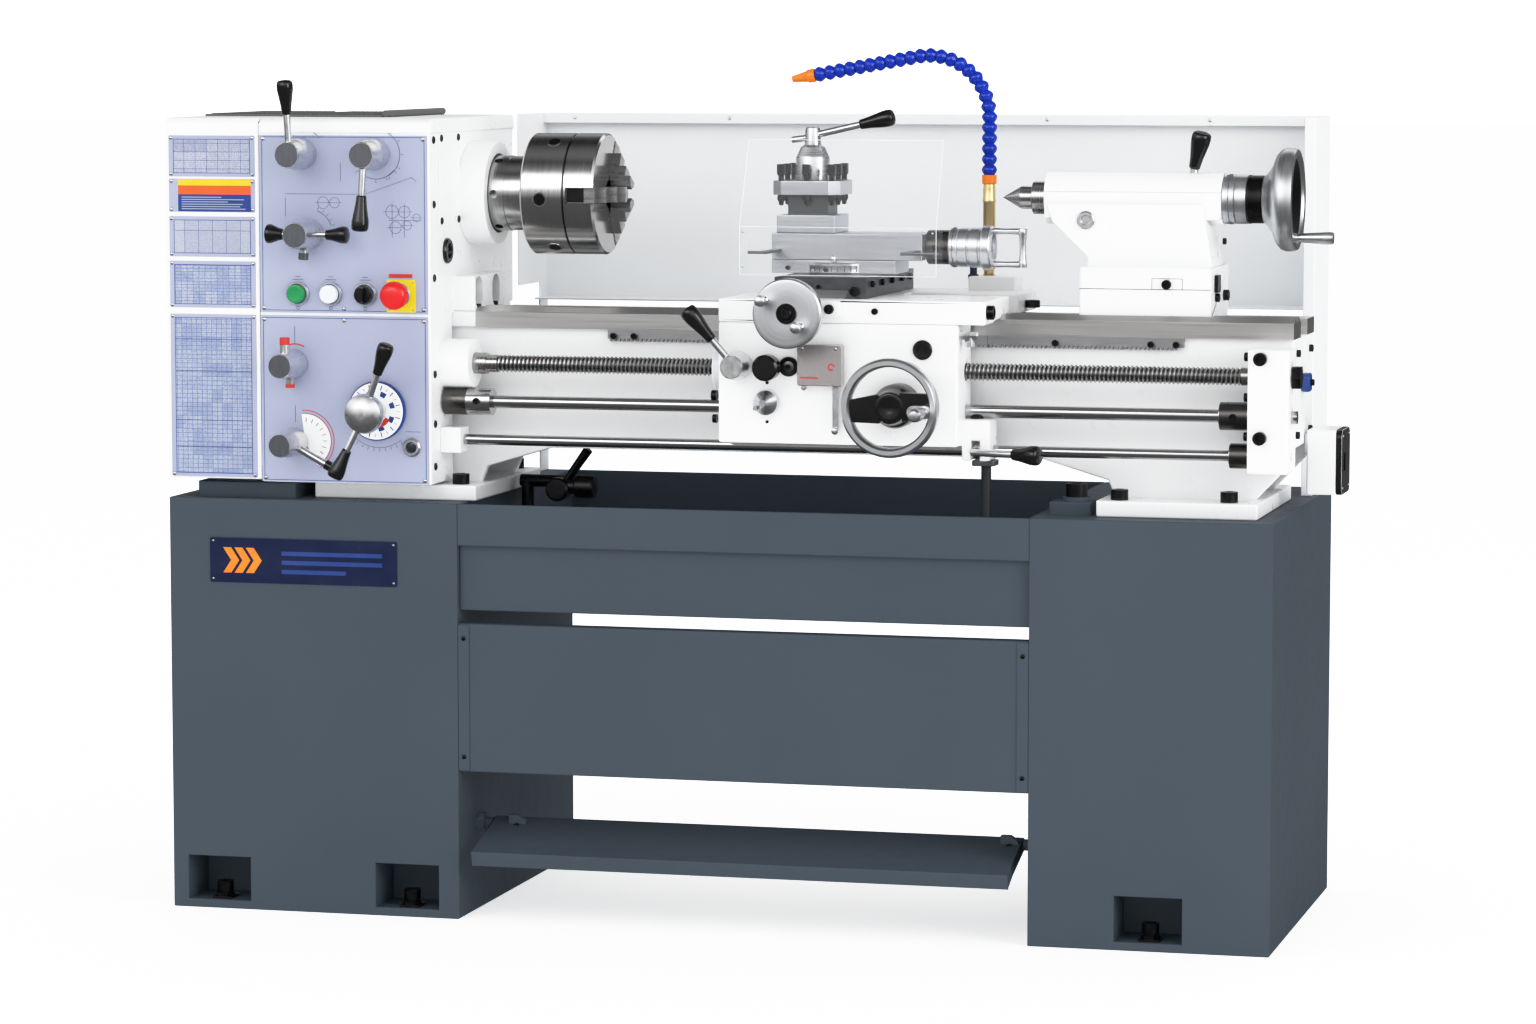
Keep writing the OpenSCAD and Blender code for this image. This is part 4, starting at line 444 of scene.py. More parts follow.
def bake(thing):
    depsgraph = bpy.context.evaluated_depsgraph_get()
    mesh = bpy.data.meshes.new_from_object(thing.evaluated_get(depsgraph))
    thing.modifiers.clear()
    thing.data = mesh
    mesh.name = thing.name


def smooth(thing, angle=35):
    thing.data.shade_smooth()
    thing.data.set_sharp_from_angle(angle=math.radians(angle))


# flat faces keep a flat look beside their rounded edges
def evenNormals(thing):
    even = thing.modifiers.new("even", "WEIGHTED_NORMAL")
    even.keep_sharp = True
    bake(thing)


def settle(thing, finish, body, replaced):
    thing.data.materials.clear()
    thing.data.materials.append(finish)
    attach(thing, body)
    if replaced:
        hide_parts(*replaced)


def piece(name, bm, finish, body, slot, replaced=(), bevel=0.0, segments=2, angle=35):
    bmesh.ops.recalc_face_normals(bm, faces=bm.faces)
    bmesh.ops.scale(bm, vec=(mm, mm, mm), verts=bm.verts)
    mesh = bpy.data.meshes.new(name)
    bm.to_mesh(mesh)
    bm.free()
    thing = bpy.data.objects.new(name, mesh)
    scene.collection.objects.link(thing)
    if bevel:
        edge = thing.modifiers.new("edge", "BEVEL")
        edge.width = bevel * mm
        edge.segments = segments
        edge.limit_method = "ANGLE"
        edge.angle_limit = math.radians(38)
        bake(thing)
    smooth(thing, angle)
    if bevel:
        evenNormals(thing)
    settle(thing, finish, body, replaced)
    return thing


# a piece drawn by a single call
def solo(name, draw, shape, finish, body, slot, replaced=(), **more):
    bm = bmesh.new()
    draw(bm, *shape)
    return piece(name, bm, finish, body, slot, replaced, **more)


def carve(bm, cutter):
    bmesh.ops.remove_doubles(bm, verts=bm.verts, dist=1e-6)
    mesh = bpy.data.meshes.new("carved")
    bm.to_mesh(mesh)
    bm.free()
    thing = bpy.data.objects.new("carved", mesh)
    scene.collection.objects.link(thing)
    tool = shapeObject("carver", cutter)
    cut = thing.modifiers.new("cut", "BOOLEAN")
    cut.object = tool
    cut.solver = "EXACT"
    bake(thing)
    carved = bmesh.new()
    carved.from_mesh(thing.data)
    bpy.data.objects.remove(thing)
    bpy.data.objects.remove(tool)
    return carved


# a copy of a frame part whose long outer edges are rounded, as on a casting
def casting(name, node, finish, body, width, shortest=9.0, segments=3, cutter=None):
    bm = bmesh.new()
    bm.from_mesh(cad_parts[node].data)
    if cutter:
        bm = carve(bm, cutter)
    bmesh.ops.remove_doubles(bm, verts=bm.verts, dist=1e-6)
    bmesh.ops.dissolve_limit(bm, angle_limit=math.radians(0.5), verts=bm.verts, edges=bm.edges)
    weight = bm.edges.layers.float.get("bevel_weight_edge") or bm.edges.layers.float.new("bevel_weight_edge")
    for edge in bm.edges:
        if len(edge.link_faces) == 2 and edge.is_convex and edge.calc_length() > shortest * mm:
            if edge.calc_face_angle() > math.radians(38):
                edge[weight] = 1.0
    mesh = bpy.data.meshes.new(name)
    bm.to_mesh(mesh)
    bm.free()
    thing = bpy.data.objects.new(name, mesh)
    scene.collection.objects.link(thing)
    edge = thing.modifiers.new("edge", "BEVEL")
    edge.width = width * mm
    edge.segments = segments
    edge.limit_method = "WEIGHT"
    edge.use_clamp_overlap = False
    bake(thing)
    smooth(thing, 30)
    evenNormals(thing)
    settle(thing, finish, body, (node,))
    return thing


# geometry node trees: spread a shape over points, follow a path, wind a thread


def newTree(name, inputs):
    tree = bpy.data.node_groups.new(name, "GeometryNodeTree")
    tree.interface.new_socket(name="Geometry", in_out="INPUT", socket_type="NodeSocketGeometry")
    for label, kind in inputs:
        tree.interface.new_socket(name=label, in_out="INPUT", socket_type="NodeSocket" + kind)
    tree.interface.new_socket(name="Geometry", in_out="OUTPUT", socket_type="NodeSocketGeometry")
    return tree, tree.nodes.new("NodeGroupInput"), tree.nodes.new("NodeGroupOutput")


def addNode(tree, kind, *links, **settings):
    node = tree.nodes.new(kind)
    for key, value in settings.items():
        setattr(node, key, value)
    for socket, value in links:
        if isinstance(value, bpy.types.NodeSocket):
            tree.links.new(value, node.inputs[socket])
        else:
            node.inputs[socket].default_value = value
    return node


def closeTree(tree, given, out, geometry):
    real = addNode(tree, "GeometryNodeRealizeInstances", ("Geometry", geometry))
    dressed = addNode(tree, "GeometryNodeSetMaterial", ("Geometry", real.outputs[0]),
                      ("Material", given.outputs["Finish"]))
    tree.links.new(dressed.outputs[0], out.inputs[0])


def spreadTree():
    tree, given, out = newTree("spreadShape", [("Shape", "Object"), ("Scale", "Float"),
                                               ("Finish", "Material")])
    shape = addNode(tree, "GeometryNodeObjectInfo", ("Object", given.outputs["Shape"]), ("As Instance", True))
    turned = addNode(tree, "GeometryNodeInputNamedAttribute", ("Name", "turn"), data_type="FLOAT_VECTOR")
    size = addNode(tree, "GeometryNodeInputNamedAttribute", ("Name", "size"), data_type="FLOAT")
    total = addNode(tree, "ShaderNodeMath", (0, size.outputs[0]), (1, given.outputs["Scale"]),
                    operation="MULTIPLY")
    spread = addNode(tree, "GeometryNodeInstanceOnPoints", ("Points", given.outputs["Geometry"]),
                     ("Instance", shape.outputs["Geometry"]), ("Rotation", turned.outputs[0]),
                     ("Scale", total.outputs[0]))
    closeTree(tree, given, out, spread.outputs[0])
    return tree


def linkTree():
    tree, given, out = newTree("hoseLinks", [("Link", "Object"), ("Pitch", "Float"), ("Finish", "Material")])
    curve = addNode(tree, "GeometryNodeMeshToCurve", ("Mesh", given.outputs["Geometry"]))
    points = addNode(tree, "GeometryNodeCurveToPoints", ("Curve", curve.outputs[0]),
                     ("Length", given.outputs["Pitch"]), mode="LENGTH")
    shape = addNode(tree, "GeometryNodeObjectInfo", ("Object", given.outputs["Link"]), ("As Instance", True))
    spread = addNode(tree, "GeometryNodeInstanceOnPoints", ("Points", points.outputs["Points"]),
                     ("Instance", shape.outputs["Geometry"]), ("Rotation", points.outputs["Rotation"]))
    closeTree(tree, given, out, spread.outputs[0])
    return tree


def threadTree():
    tree, given, out = newTree("windThread", [("Radius", "Float"), ("Turns", "Float"), ("Length", "Float"),
                                              ("Ridge", "Float"), ("Start", "Vector"), ("Finish",
                                                      "Material")])
    spiral = addNode(tree, "GeometryNodeCurveSpiral", ("Resolution", 20),
                     ("Rotations", given.outputs["Turns"]),
                     ("Start Radius", given.outputs["Radius"]), ("End Radius", given.outputs["Radius"]),
                     ("Height", given.outputs["Length"]))
    upright = addNode(tree, "GeometryNodeSetCurveNormal", ("Curve", spiral.outputs[0]), mode="Z_UP")
    ridge = addNode(tree, "GeometryNodeCurvePrimitiveCircle", ("Resolution", 4),
                    ("Radius", given.outputs["Ridge"]))
    wound = addNode(tree, "GeometryNodeCurveToMesh", ("Curve", upright.outputs[0]),
                    ("Profile Curve", ridge.outputs["Curve"]), ("Fill Caps", True))
    laid = addNode(tree, "GeometryNodeTransform", ("Geometry", wound.outputs[0]),
                   ("Translation", given.outputs["Start"]), ("Rotation", Euler((0, math.radians(90), 0))))
    both = addNode(tree, "GeometryNodeJoinGeometry", (0, laid.outputs[0]), (0, given.outputs["Geometry"]))
    closeTree(tree, given, out, both.outputs[0])
    return tree


trees = {"spread": spreadTree(), "links": linkTree(), "thread": threadTree()}


def runTree(thing, tree, values):
    mod = thing.modifiers.new("build", "NODES")
    mod.node_group = tree
    for item in tree.interface.items_tree:
        if item.in_out == "INPUT" and item.name in values:
            mod[item.identifier] = values[item.name]
    bake(thing)


def shapeObject(name, bm):
    bmesh.ops.recalc_face_normals(bm, faces=bm.faces)
    bmesh.ops.scale(bm, vec=(mm, mm, mm), verts=bm.verts)
    mesh = bpy.data.meshes.new(name)
    bm.to_mesh(mesh)
    bm.free()
    shape = bpy.data.objects.new(name, mesh)
    scene.collection.objects.link(shape)
    return shape


def socketHead():
    bm = bmesh.new()
    turn(bm, (0, 0, 0), (0, 0, 1), [(0, 0), (0, 1.5), (1.35, 1.5), (1.5, 1.38), (1.5, 0.85), (0.7, 0.8),
                                    (0.7, 0)], 18)
    return shapeObject("socketHead", bm)


def domeHead():
    bm = bmesh.new()
    turn(bm, (0, 0, 0), (0, 0, 1), [(0, 0), (0, 1.0), (0.25, 0.95), (0.5, 0.7), (0.6, 0.3), (0.6, 0)], 14)
    return shapeObject("domeHead", bm)


def plugHead():
    bm = bmesh.new()
    turn(bm, (0, 0, 0), (0, 0, 1), [(0, 0), (0, 1.5), (0.3, 1.5), (0.45, 1.35), (0.45, 0.8), (0.12, 0.75),
                                    (0.12, 0)], 20)
    return shapeObject("plugHead", bm)


def markLine():
    bm = bmesh.new()
    block(bm, (-0.5, -0.06, 0), (0.5, 0.06, 0.12))
    return shapeObject("markLine", bm)


shapes = {"socket": socketHead(), "plug": plugHead(), "dome": domeHead(), "mark": markLine()}


# spots: (place, facing, size, spin); the shape's z axis turns to the facing
def spread(name, spots, shape, finish, body, slot):
    mesh = bpy.data.meshes.new(name)
    mesh.from_pydata([[c * mm for c in s[0]] for s in spots], [], [])
    mesh.attributes.new("turn", "FLOAT_VECTOR", "POINT")
    mesh.attributes.new("size", "FLOAT", "POINT")
    turns, sizes = mesh.attributes["turn"], mesh.attributes["size"]
    for i, (_, facing, size, *spin) in enumerate(spots):
        a, u, v = around(facing)
        t = math.radians(spin[0] if spin else 0)
        x = u * math.cos(t) + v * math.sin(t)
        y = a.cross(x)
        turned = Vector(turnAngles(x, y, a))
        turns.data[i].vector = turned
        sizes.data[i].value = size
    thing = bpy.data.objects.new(name, mesh)
    scene.collection.objects.link(thing)
    runTree(thing, trees["spread"], {"Shape": shapes[shape], "Scale": 1.0, "Finish": finish})
    smooth(thing)
    settle(thing, finish, body, ())
    return thing


def turnAngles(x, y, z):
    return Matrix((x, y, z)).transposed().to_euler()


front, left, right, up, back, down = (0, -1, 0), (-1, 0, 0), (1, 0, 0), (0, 0, 1), (0, 1, 0), (0, 0, -1)
print("helpers ready")

# stand
stand = {"platePlace": (-681, -401, 470, 534), "pocketX": (-672.5, -390, 672.5)}


def buildStand():
    for name, node, body in (("leftCabinetShell", "left_cabinet", "stand"),
                             ("rightCabinetShell", "right_cabinet", "stand"),
                             ("chipTrough", "chip_tray", "stand"), ("treadleBoard", "brake_treadle",
                                     "brake_treadle")):
        casting(name, node, slate, body, 2.0)
    x0, x1, z0, z1 = stand["platePlace"]
    middle = ((x0 + x1) / 2, -280.2, (z0 + z1) / 2)
    solo("namePlate", slab, (roundedOutline(x1 - x0, z1 - z0, 3), middle, right, up, 1.2), plateNavy, "stand",
         "stand_paint", bevel=0.3)
    # plain chevrons and bars fill the plate
    bm = bmesh.new()
    for i in range(3):
        x = x0 + 20 + 17 * i
        slab(bm, [(0, 0), (12, 0), (24, 18), (12, 36), (0, 36), (12, 18)], (x, -281.3, z0 + 14), right, up,
             0.3)
    piece("plateChevrons", bm, nozzleOrange, "stand", "stand_paint")
    bm = bmesh.new()
    for i, width in enumerate((150, 150, 96)):
        block(bm, (x0 + 108, -281.7, z0 + 40 - 13 * i), (x0 + 108 + width, -281.3, z0 + 46 - 13 * i))
    piece("plateBars", bm, inkBlue, "stand", "stand_paint")
    spots = [((x, -281.4, z), front, 1.8) for x in (x0 + 5, x1 - 5) for z in (z0 + 5, z1 - 5)]
    spread("plateRivets", spots, "dome", satin, "stand", "bright_steel")
    # folded strip and screws that hold the centre panel
    bm = bmesh.new()
    block(bm, (-312, -279.6, 213), (-296, -278.2, 419))
    block(bm, (489, -279.6, 213), (505, -278.2, 419))
    piece("panelStrips", bm, slate, "stand", "stand_paint", bevel=0.5)
    spots = [((x, -279.7, z), front, 3.2) for x in (-304, 497) for z in (232, 400)]
    spread("panelScrews", spots, "dome", blackSteel, "stand", "black_steel")
    bm = bmesh.new()
    for x in stand["pocketX"]:
        for side in (-1, 1):
            slab(bm, roundedOutline(30, 30, 4), (x, side * 256, 12.2), right, back, 2.4)
    piece("levelPads", bm, blackSteel, "stand", "black_steel", bevel=0.4)
    bm = bmesh.new()
    for x in (-262, 452):
        slab(bm, [(0, 0), (26, 0), (26, 14), (14, 22), (0, 22)], (x, -196, 118), right, up, 12)
    piece("treadleBrackets", bm, slate, "brake_treadle", "stand_paint", bevel=1.5)
    spots = [((x + 13, -208.2, 124), front, 3.4) for x in (-262, 452)]
    spread("treadleScrews", spots, "socket", blackSteel, "brake_treadle", "black_steel")


buildStand()
print("stand built")

# bed and its ways
bed = {"front": -180, "back": 10, "top": 854, "rail": 64, "height": 22, "start": -316, "end": 849.5,
       "skin": 0.12}


def buildBed():
    casting("bedCasting", "bed", white, "stand", 3)
    s, top = bed["skin"], bed["top"]
    low = top - bed["height"]
    y0, y1 = bed["front"], bed["front"] + bed["rail"]
    vee = [p for y in (-164, -132) for p in ((y - 8 - s, top + s), (y, top + 7 + s), (y + 8 + s, top + s))]
    outline = [(y0 - s, low - s), (y1 + s, low - s), (y1 + s, top + s), *reversed(vee), (y0 - s, top + s)]
    solo("frontWays", slab, (outline, (bed["start"], 0, 0), back, up, bed["end"] + s - bed["start"]),
         wayGround, "stand", "bright_steel")
    y0, y1 = bed["back"] - bed["rail"], bed["back"]
    solo("rearWay", slab, ([(y0 - s, low - s), (y1 + s, low - s), (y1 + s, top + s), (y0 - s, top + s)],
                           (bed["start"], 0, 0), back, up, bed["end"] + s - bed["start"]), wayGround, "stand",
                           "bright_steel")
    # joints between the lengths of the rack
    bm = bmesh.new()
    for x in (152, 425):
        block(bm, (x, -180.2, 815), (x + 0.8, -172, 832))
    piece("rackJoints", bm, hubFace, "stand", "black_steel")
    # drilled bolt and blue drain cap on the bed's right end
    solo("drainCap", slab, (roundedOutline(30, 26, 8), (849.6, -96, 769), back, up, 12), knobBlue, "stand",
         "blue_plastic", bevel=3, segments=3)
    spots = [((849.6, y, z), right, 3.4) for y in (-150, -30) for z in (700, 812)] + [((861.6, -96, 769),
            right, 3)]
    spread("bedEndScrews", spots, "socket", blackSteel, "stand", "black_steel")


buildBed()
print("bed built")

# headstock


def frameLines(bm, x0, x1, z0, z1, y, wide=0.6, thick=0.2):
    for lo, hi in (((x0, z0), (x1, z0 + wide)), ((x0, z1 - wide), (x1, z1)), ((x0, z0), (x0 + wide, z1)),
                   ((x1 - wide, z0), (x1, z1))):
        block(bm, (lo[0], y - thick, lo[1]), (hi[0], y, hi[1]))


def buildCharts():
    plates = (("chartTop", 1045, 1103, tableHead), ("chartColour", 995, 1042, None),
              ("chartLevers", 932, 989, tableSparse),
              ("chartFeeds", 860, 926, tableFine), ("chartThreads", 620, 851, tableDense))
    x0, x1 = -737, -608
    rivets = []
    rules = bmesh.new()
    for name, z0, z1, finish in plates:
        solo(name, slab, (roundedOutline(x1 - x0, z1 - z0, 2), ((x0 + x1) / 2, -280, (z0 + z1) / 2), right,
                          up, 0.8), panelGrey, "end_cover", "panel_alu")
        if finish:
            solo(name + "Print", block, ((x0 + 7, -281, z0 + 5), (x1 - 7, -280.7, z1 - 5)), finish,
                 "end_cover", "panel_alu")
            frameLines(rules, x0 + 7, x1 - 7, z0 + 5, z1 - 5, -281)
        rivets += [((x, -280.8, z), front, 2.6) for x in (x0 + 3.5, x1 - 3.5) for z in (z0 + 3.5, z1 - 3.5)]
    for z in (662, 700, 770, 815):
        block(rules, (x0 + 7, -281.2, z), (x1 - 7, -281, z + 0.7))
    piece("chartRules", rules, inkBlue, "end_cover", "panel_alu")
    for name, z0, z1, finish in (("bandTop", 1032.6, 1041.4, bandYellow),
                                 ("bandMiddle", 1020, 1032.6, bandOrange),
                                 ("bandLow", 996, 1020, inkBlue)):
        solo(name, block, ((-723, -281.1, z0), (-614, -280.7, z1)), finish, "end_cover", "panel_alu")
    bm = bmesh.new()
    for i in range(6):
        block(bm, (-718, -281.3, 999 + 3.3 * i), (-718 + (96, 88, 92, 70, 94, 60)[i], -281.05,
                                                  1000.3 + 3.3 * i))
    piece("bandLines", bm, panelGrey, "end_cover", "panel_alu")
    spread("chartRivets", rivets, "dome", satin, "end_cover", "bright_steel")


def buildHeadstock():
    pockets = bmesh.new()
    for y in (-153, -75):
        slab(pockets, roundedOutline(34, 46, 16, 8), (-337, y, 880), back, up, 30)
    casting("headstockCasting", "headstock", white, "stand", 3, cutter=pockets)
    casting("endCoverShell", "end_cover", white, "end_cover", 3)
    casting("bearingCaps", "bearing_caps", white, "stand", 1.5, 4)
    buildCharts()
    # low rubber mats on the lid and on the end cover's top
    for name, body, x0, x1, y0, y1 in (("lidMat", "stand", -598, -452, -190, 92),
                                       ("coverMat", "end_cover", -734, -606, -150, 92)):
        bm = bmesh.new()
        slab(bm, roundedOutline(x1 - x0, y1 - y0, 8), ((x0 + x1) / 2, (y0 + y1) / 2, 1128), right, back, 3)
        for i in range(int((x1 - x0 - 16) / 7)):
            block(bm, (x0 + 9 + 7 * i, y0 + 8, 1130.5), (x0 + 12 + 7 * i, y1 - 8, 1132.2))
        piece(name, bm, matRubber, body, "belt_rubber")
    bm = bmesh.new()
    hose(bm, [(-448, y, 1133) for y in range(-180, 84, 6)], 5)
    piece("matRoll", bm, matRubber, "stand", "belt_rubber")
    # side cover, plug and screws on the right wall
    solo("sideCover", slab, (roundedOutline(90, 132, 5), (-349.5, -195, 1042), back, up, 2), white, "stand",
         "white_paint", bevel=0.8)
    side = [((-347.5, y, z), right, 3.4) for y in (-233, -157) for z in (984, 1100)]
    side += [((-349.5, y, z), right, 3.6) for y,
             z in ((-262, 1098), (-262, 1008), (-262, 905), (-262, 700), (-262, 640), (60, 1080),
                   (-262, 770))]
    spread("sideScrews", side, "plug", blackSteel, "stand", "black_steel")
    solo("sidePlug", turn, ((-349.5, -206, 941), right,
                            [(0, 0), (0, 18), (3, 18), (5, 16), (5, 11), (2, 10), (2, 0)]), gripBlack,
                            "stand", "black_plastic")
    spread("pocketBolts", [((-323, y + 5, 858), up, 3.6) for y in (-153, -75)], "socket", blackSteel, "stand",
           "black_steel")
    # panel: outline rules, corner screws, sight glass, stop plate
    bm = bmesh.new()
    for z0, z1 in ((618, 848), (858, 1102)):
        frameLines(bm, -597, -356, z0, z1, panelY, 0.7)
    piece("panelRules", bm, inkBlue, "stand", "panel_alu")
    spots = [((x, panelY, z), front, 3.0) for x in (-595, -476, -358) for z in (621, 845, 861,
            1099) if not (x == -476 and z in (621, 1099))]
    spread("panelRivets", spots, "dome", satin, "stand", "bright_steel")
    solo("sightRing", turn, ((-377, panelY, 668), front,
                             [(0, 7.5), (0, 13), (3, 13), (5, 11), (5, 8), (2, 7.5)]), satin, "stand",
                             "satin_chrome")
    solo("sightGlass", turn, ((-377, panelY, 668), front, [(0, 0), (0, 7.7), (2.4, 7.7), (3.4, 4), (3.6, 0)]),
         glassDark, "stand", "black_plastic")
    solo("stopPlate", slab, (roundedOutline(43, 46, 2), (-391.5, panelY, 880.5), right, up, 0.9), plateYellow,
         "stand", "panel_alu", bevel=0.2)
    spread("stopPlateRivets", [((x, -282.9, z), front, 1.5) for x in (-409.5, -373.5) for z in (861, 900)],
           "dome", satin,
           "stand", "bright_steel")
    solo("stopStripe", block, ((-409, -282.5, 906), (-375, panelY, 911)), inkRed, "stand", "panel_alu")


# printed scales and plain pictograms on the panels
def buildPanelMarks():
    marks = bmesh.new()
    y = -282.3

    def arc(x, z, radius, start, end, wide=0.8, target=marks):
        slab(target, sector(radius, radius + wide, start, end), (x, y + 0.3, z), right, up, 0.25)

    def line(x0, z0, x1, z1, wide=0.6, target=marks):
        run = Vector((x1 - x0, 0, z1 - z0))
        side = Vector((-run.z, 0, run.x)).normalized() * wide / 2
        slab(target, [(0, 0), (1, 0), (1, 1), (0, 1)], Vector((x0, y + 0.3, z0)) - side, run, side * 2, 0.25)

    for x, z, start, end in ((-536.5, 1078, 40, 140), (-427.5, 1078, 220, 320), (-426.5, 1078, -60, 60),
                             (-526.5, 966, 20, 70)):
        arc(x, z, 34, start, end)
        for i in range(5):
            t = math.radians(start + (end - start) * i / 4)
            line(x + 36 * math.cos(t), z + 36 * math.sin(t), x + 40 * math.cos(t), z + 40 * math.sin(t))
    # gear outlines between the two upper levers and at their right
    for x, z, r in ((-404, 998, 9), (-386, 998, 8), (-399, 976, 8), (-382, 979, 6), (-368, 990, 5),
                    (-506, 1010, 8), (-489, 1010, 7)):
        arc(x, z, r, 0, 350, 0.5)
        line(x - r - 4, z, x + r + 4, z, 0.4)
    for x0, z0, x1, z1 in ((-562, 1022, -450, 1022), (-409, 986, -360, 986), (-404, 962, -404, 1010),
                           (-386, 962, -386, 1008),
                           (-444, 1022, -375, 1046), (-375, 1046, -368, 1040), (-562, 990, -562, 1016),
                           (-480, 1040, -480, 1066)):
        line(x0, z0, x1, z1, 0.5)
    for x in (-544.5, -495.5, -444.5):
        line(x - 8, 902, x + 8, 902, 0.8)
        line(x - 4, 906, x + 4, 906, 0.8)
        arc(x, 862, 1.8, 0, 340, 0.8)
    arc(-426, 719, 52, 230, 310, 0.6)
    for i in range(9):
        t = math.radians(235 + 9 * i)
        line(-426 + 54 * math.cos(t), 719 + 54 * math.sin(t), -426 + 58 * math.cos(t), 719 + 58 * math.sin(t))
    line(-550, 810, -550, 836)
    line(-550, 700, -550, 724)
    line(-386, 690, -364, 690)
    piece("panelMarks", marks, inkGrey, "stand", "panel_alu")
    reds = bmesh.new()
    arc(-536, 674, 43, -60, 95, 1.0, reds)
    arc(-536, 674, 39, -60, 95, 0.7, reds)
    arc(-550, 783, 27, 60, 120, 1.6, reds)
    piece("redScales", reds, inkRed, "stand", "panel_alu")
    solo("threadScale", slab, (sector(0.5, 38, -62, 97, 32), (-536, panelY, 674), right, up, 0.2), white,
         "stand", "panel_alu")
    spots = []
    for i in range(9):
        t = math.radians(-50 + 17 * i)
        spots.append(((-536 + 30 * math.cos(t), -282.2, 674 + 30 * math.sin(t)), front, 6, math.degrees(t)))
    spread("threadTicks", spots, "mark", inkGrey, "stand", "panel_alu")


chuck = {"back": -253.5, "face": -145.5, "radius": 86, "jaws": (180, 60, 300)}


def chuckSpot(angle, reach):
    t = math.radians(angle)
    return axisY + reach * math.cos(t), axisZ + reach * math.sin(t), (0, math.cos(t), math.sin(t)), (0,
            -math.sin(t), math.cos(t))


def buildChuck():
    for i, angle in enumerate(chuck["jaws"]):
        node = "chuck_jaw_" + str(i + 1)
        casting("chuckJaw" + str(i + 1), node, jawSteel, node, 0.7, 3, 2)
        y, z, out, side = chuckSpot(angle, 80.05)
        # dark plate on the floor of each jaw slot: painted shade in the slot
        solo("jawSlot" + str(i + 1), slab, (roundedOutline(25, 20, 1), (chuck["face"] - 26.6, y, z), right,
                                            side, 0.5), blackSteel, node, "black_steel")
    rings, dark = bmesh.new(), bmesh.new()
    for angle, x in ((184, 30), (240, 40), (120, 40), (0, 40)):
        y, z, out, side = chuckSpot(angle, chuck["radius"] - 0.5)
        turn(rings, (chuck["back"] + x, y, z), out, [(0, 8.2), (0, 10.5), (0.9, 10.3), (0.9, 8.4)], 36)
        # dark disc over each key socket: painted shade inside the socket's bore, ringed by the steel rim
        turn(dark, (chuck["back"] + x, y, z), out, [(0, 0), (0, 8.3), (0.8, 8.3), (0.8, 0)], 36)
    piece("keyRings", rings, jawSteel, "spindle", "bright_steel")
    piece("keySockets", dark, blackSteel, "spindle", "black_steel")
    # dark ring laid in the chuck's groove: painted shade in the groove
    solo("chuckGroove", turn, ((chuck["back"] + 62.4, axisY, axisZ), right,
                               [(0, 83.5), (0, 84.4), (2.2, 84.4), (2.2, 83.5)], 96), blackSteel, "spindle",
                               "black_steel")


buildHeadstock()
buildChuck()
buildPanelMarks()
print("headstock built")

# levers on the panel: place of the shaft, hub length and radius, arms (out, angle, reach, grip length, grip radius, lean)
levers = {
    "speed_lever_left": {"at": (-536.5, 1078), "hub": (64, 21), "arms": [(52, -2, 104, 48, 11.4, 4)]},
    "speed_lever_right": {"at": (-427.5, 1078), "hub": (64, 21), "arms": [(52, 182, 106, 50, 12, 4)]},
    "range_lever": {"at": (-526.5, 966), "hub": (62, 21),
                    "arms": [(44, -88, 48, 24, 13.5, 0), (26, 90, 66, 32, 12, 0)]},
    "feed_lever": {"at": (-550.5, 783), "hub": (62, 20), "arms": []},
    "thread_lever": {"at": (-550.5, 672), "hub": (66, 19), "arms": []},
}
gripShape = [(0, 0.0), (0, 0.5), (0.03, 0.58), (0.1, 0.6), (0.28, 0.68), (0.5, 0.84), (0.7, 0.98),
             (0.84, 1.0),
             (0.93, 0.95), (0.975, 0.82), (0.99, 0.7), (0.99, 0.45), (1.0, 0.4), (1.0, 0)]


def armLine(at, out, angle, lean, base=panelY):
    a, l = math.radians(angle), math.radians(lean)
    start = Vector((at[0], base - out, at[1]))
    return start, Vector((math.cos(l) * math.sin(a), -math.sin(l), math.cos(l) * math.cos(a)))


def addArm(steel, black, start, way, reach, gripLength, gripRadius, armRadius=5.0):
    way = Vector(way).normalized()
    joint = start + way * (reach - gripLength)
    turn(steel, start, way, [(0, 0), (0, armRadius), ((reach - gripLength) * 0.9, armRadius),
                             (reach - gripLength + 2, armRadius * 0.9), (reach - gripLength + 2, 0)], 24)
    turn(black, joint, way, [(t * gripLength, r * gripRadius) for t, r in gripShape], 32)


def addHub(steel, face, centre, base, length, radius):
    place = (centre[0], base - 0.5, centre[1])
    turn(steel, place, front, [(0, 0), (0, radius), (length * 0.5, radius), (length * 0.56, radius * 0.96),
                               (length * 0.62, radius * 0.9), (length * 0.95, radius * 0.88),
                               (length, radius * 0.82),
                               (length, 0)], 56)
    turn(face, place, front, [(length, 0), (length, radius * 0.8), (length + 0.5, radius * 0.78),
                              (length + 0.5, 0)], 56)


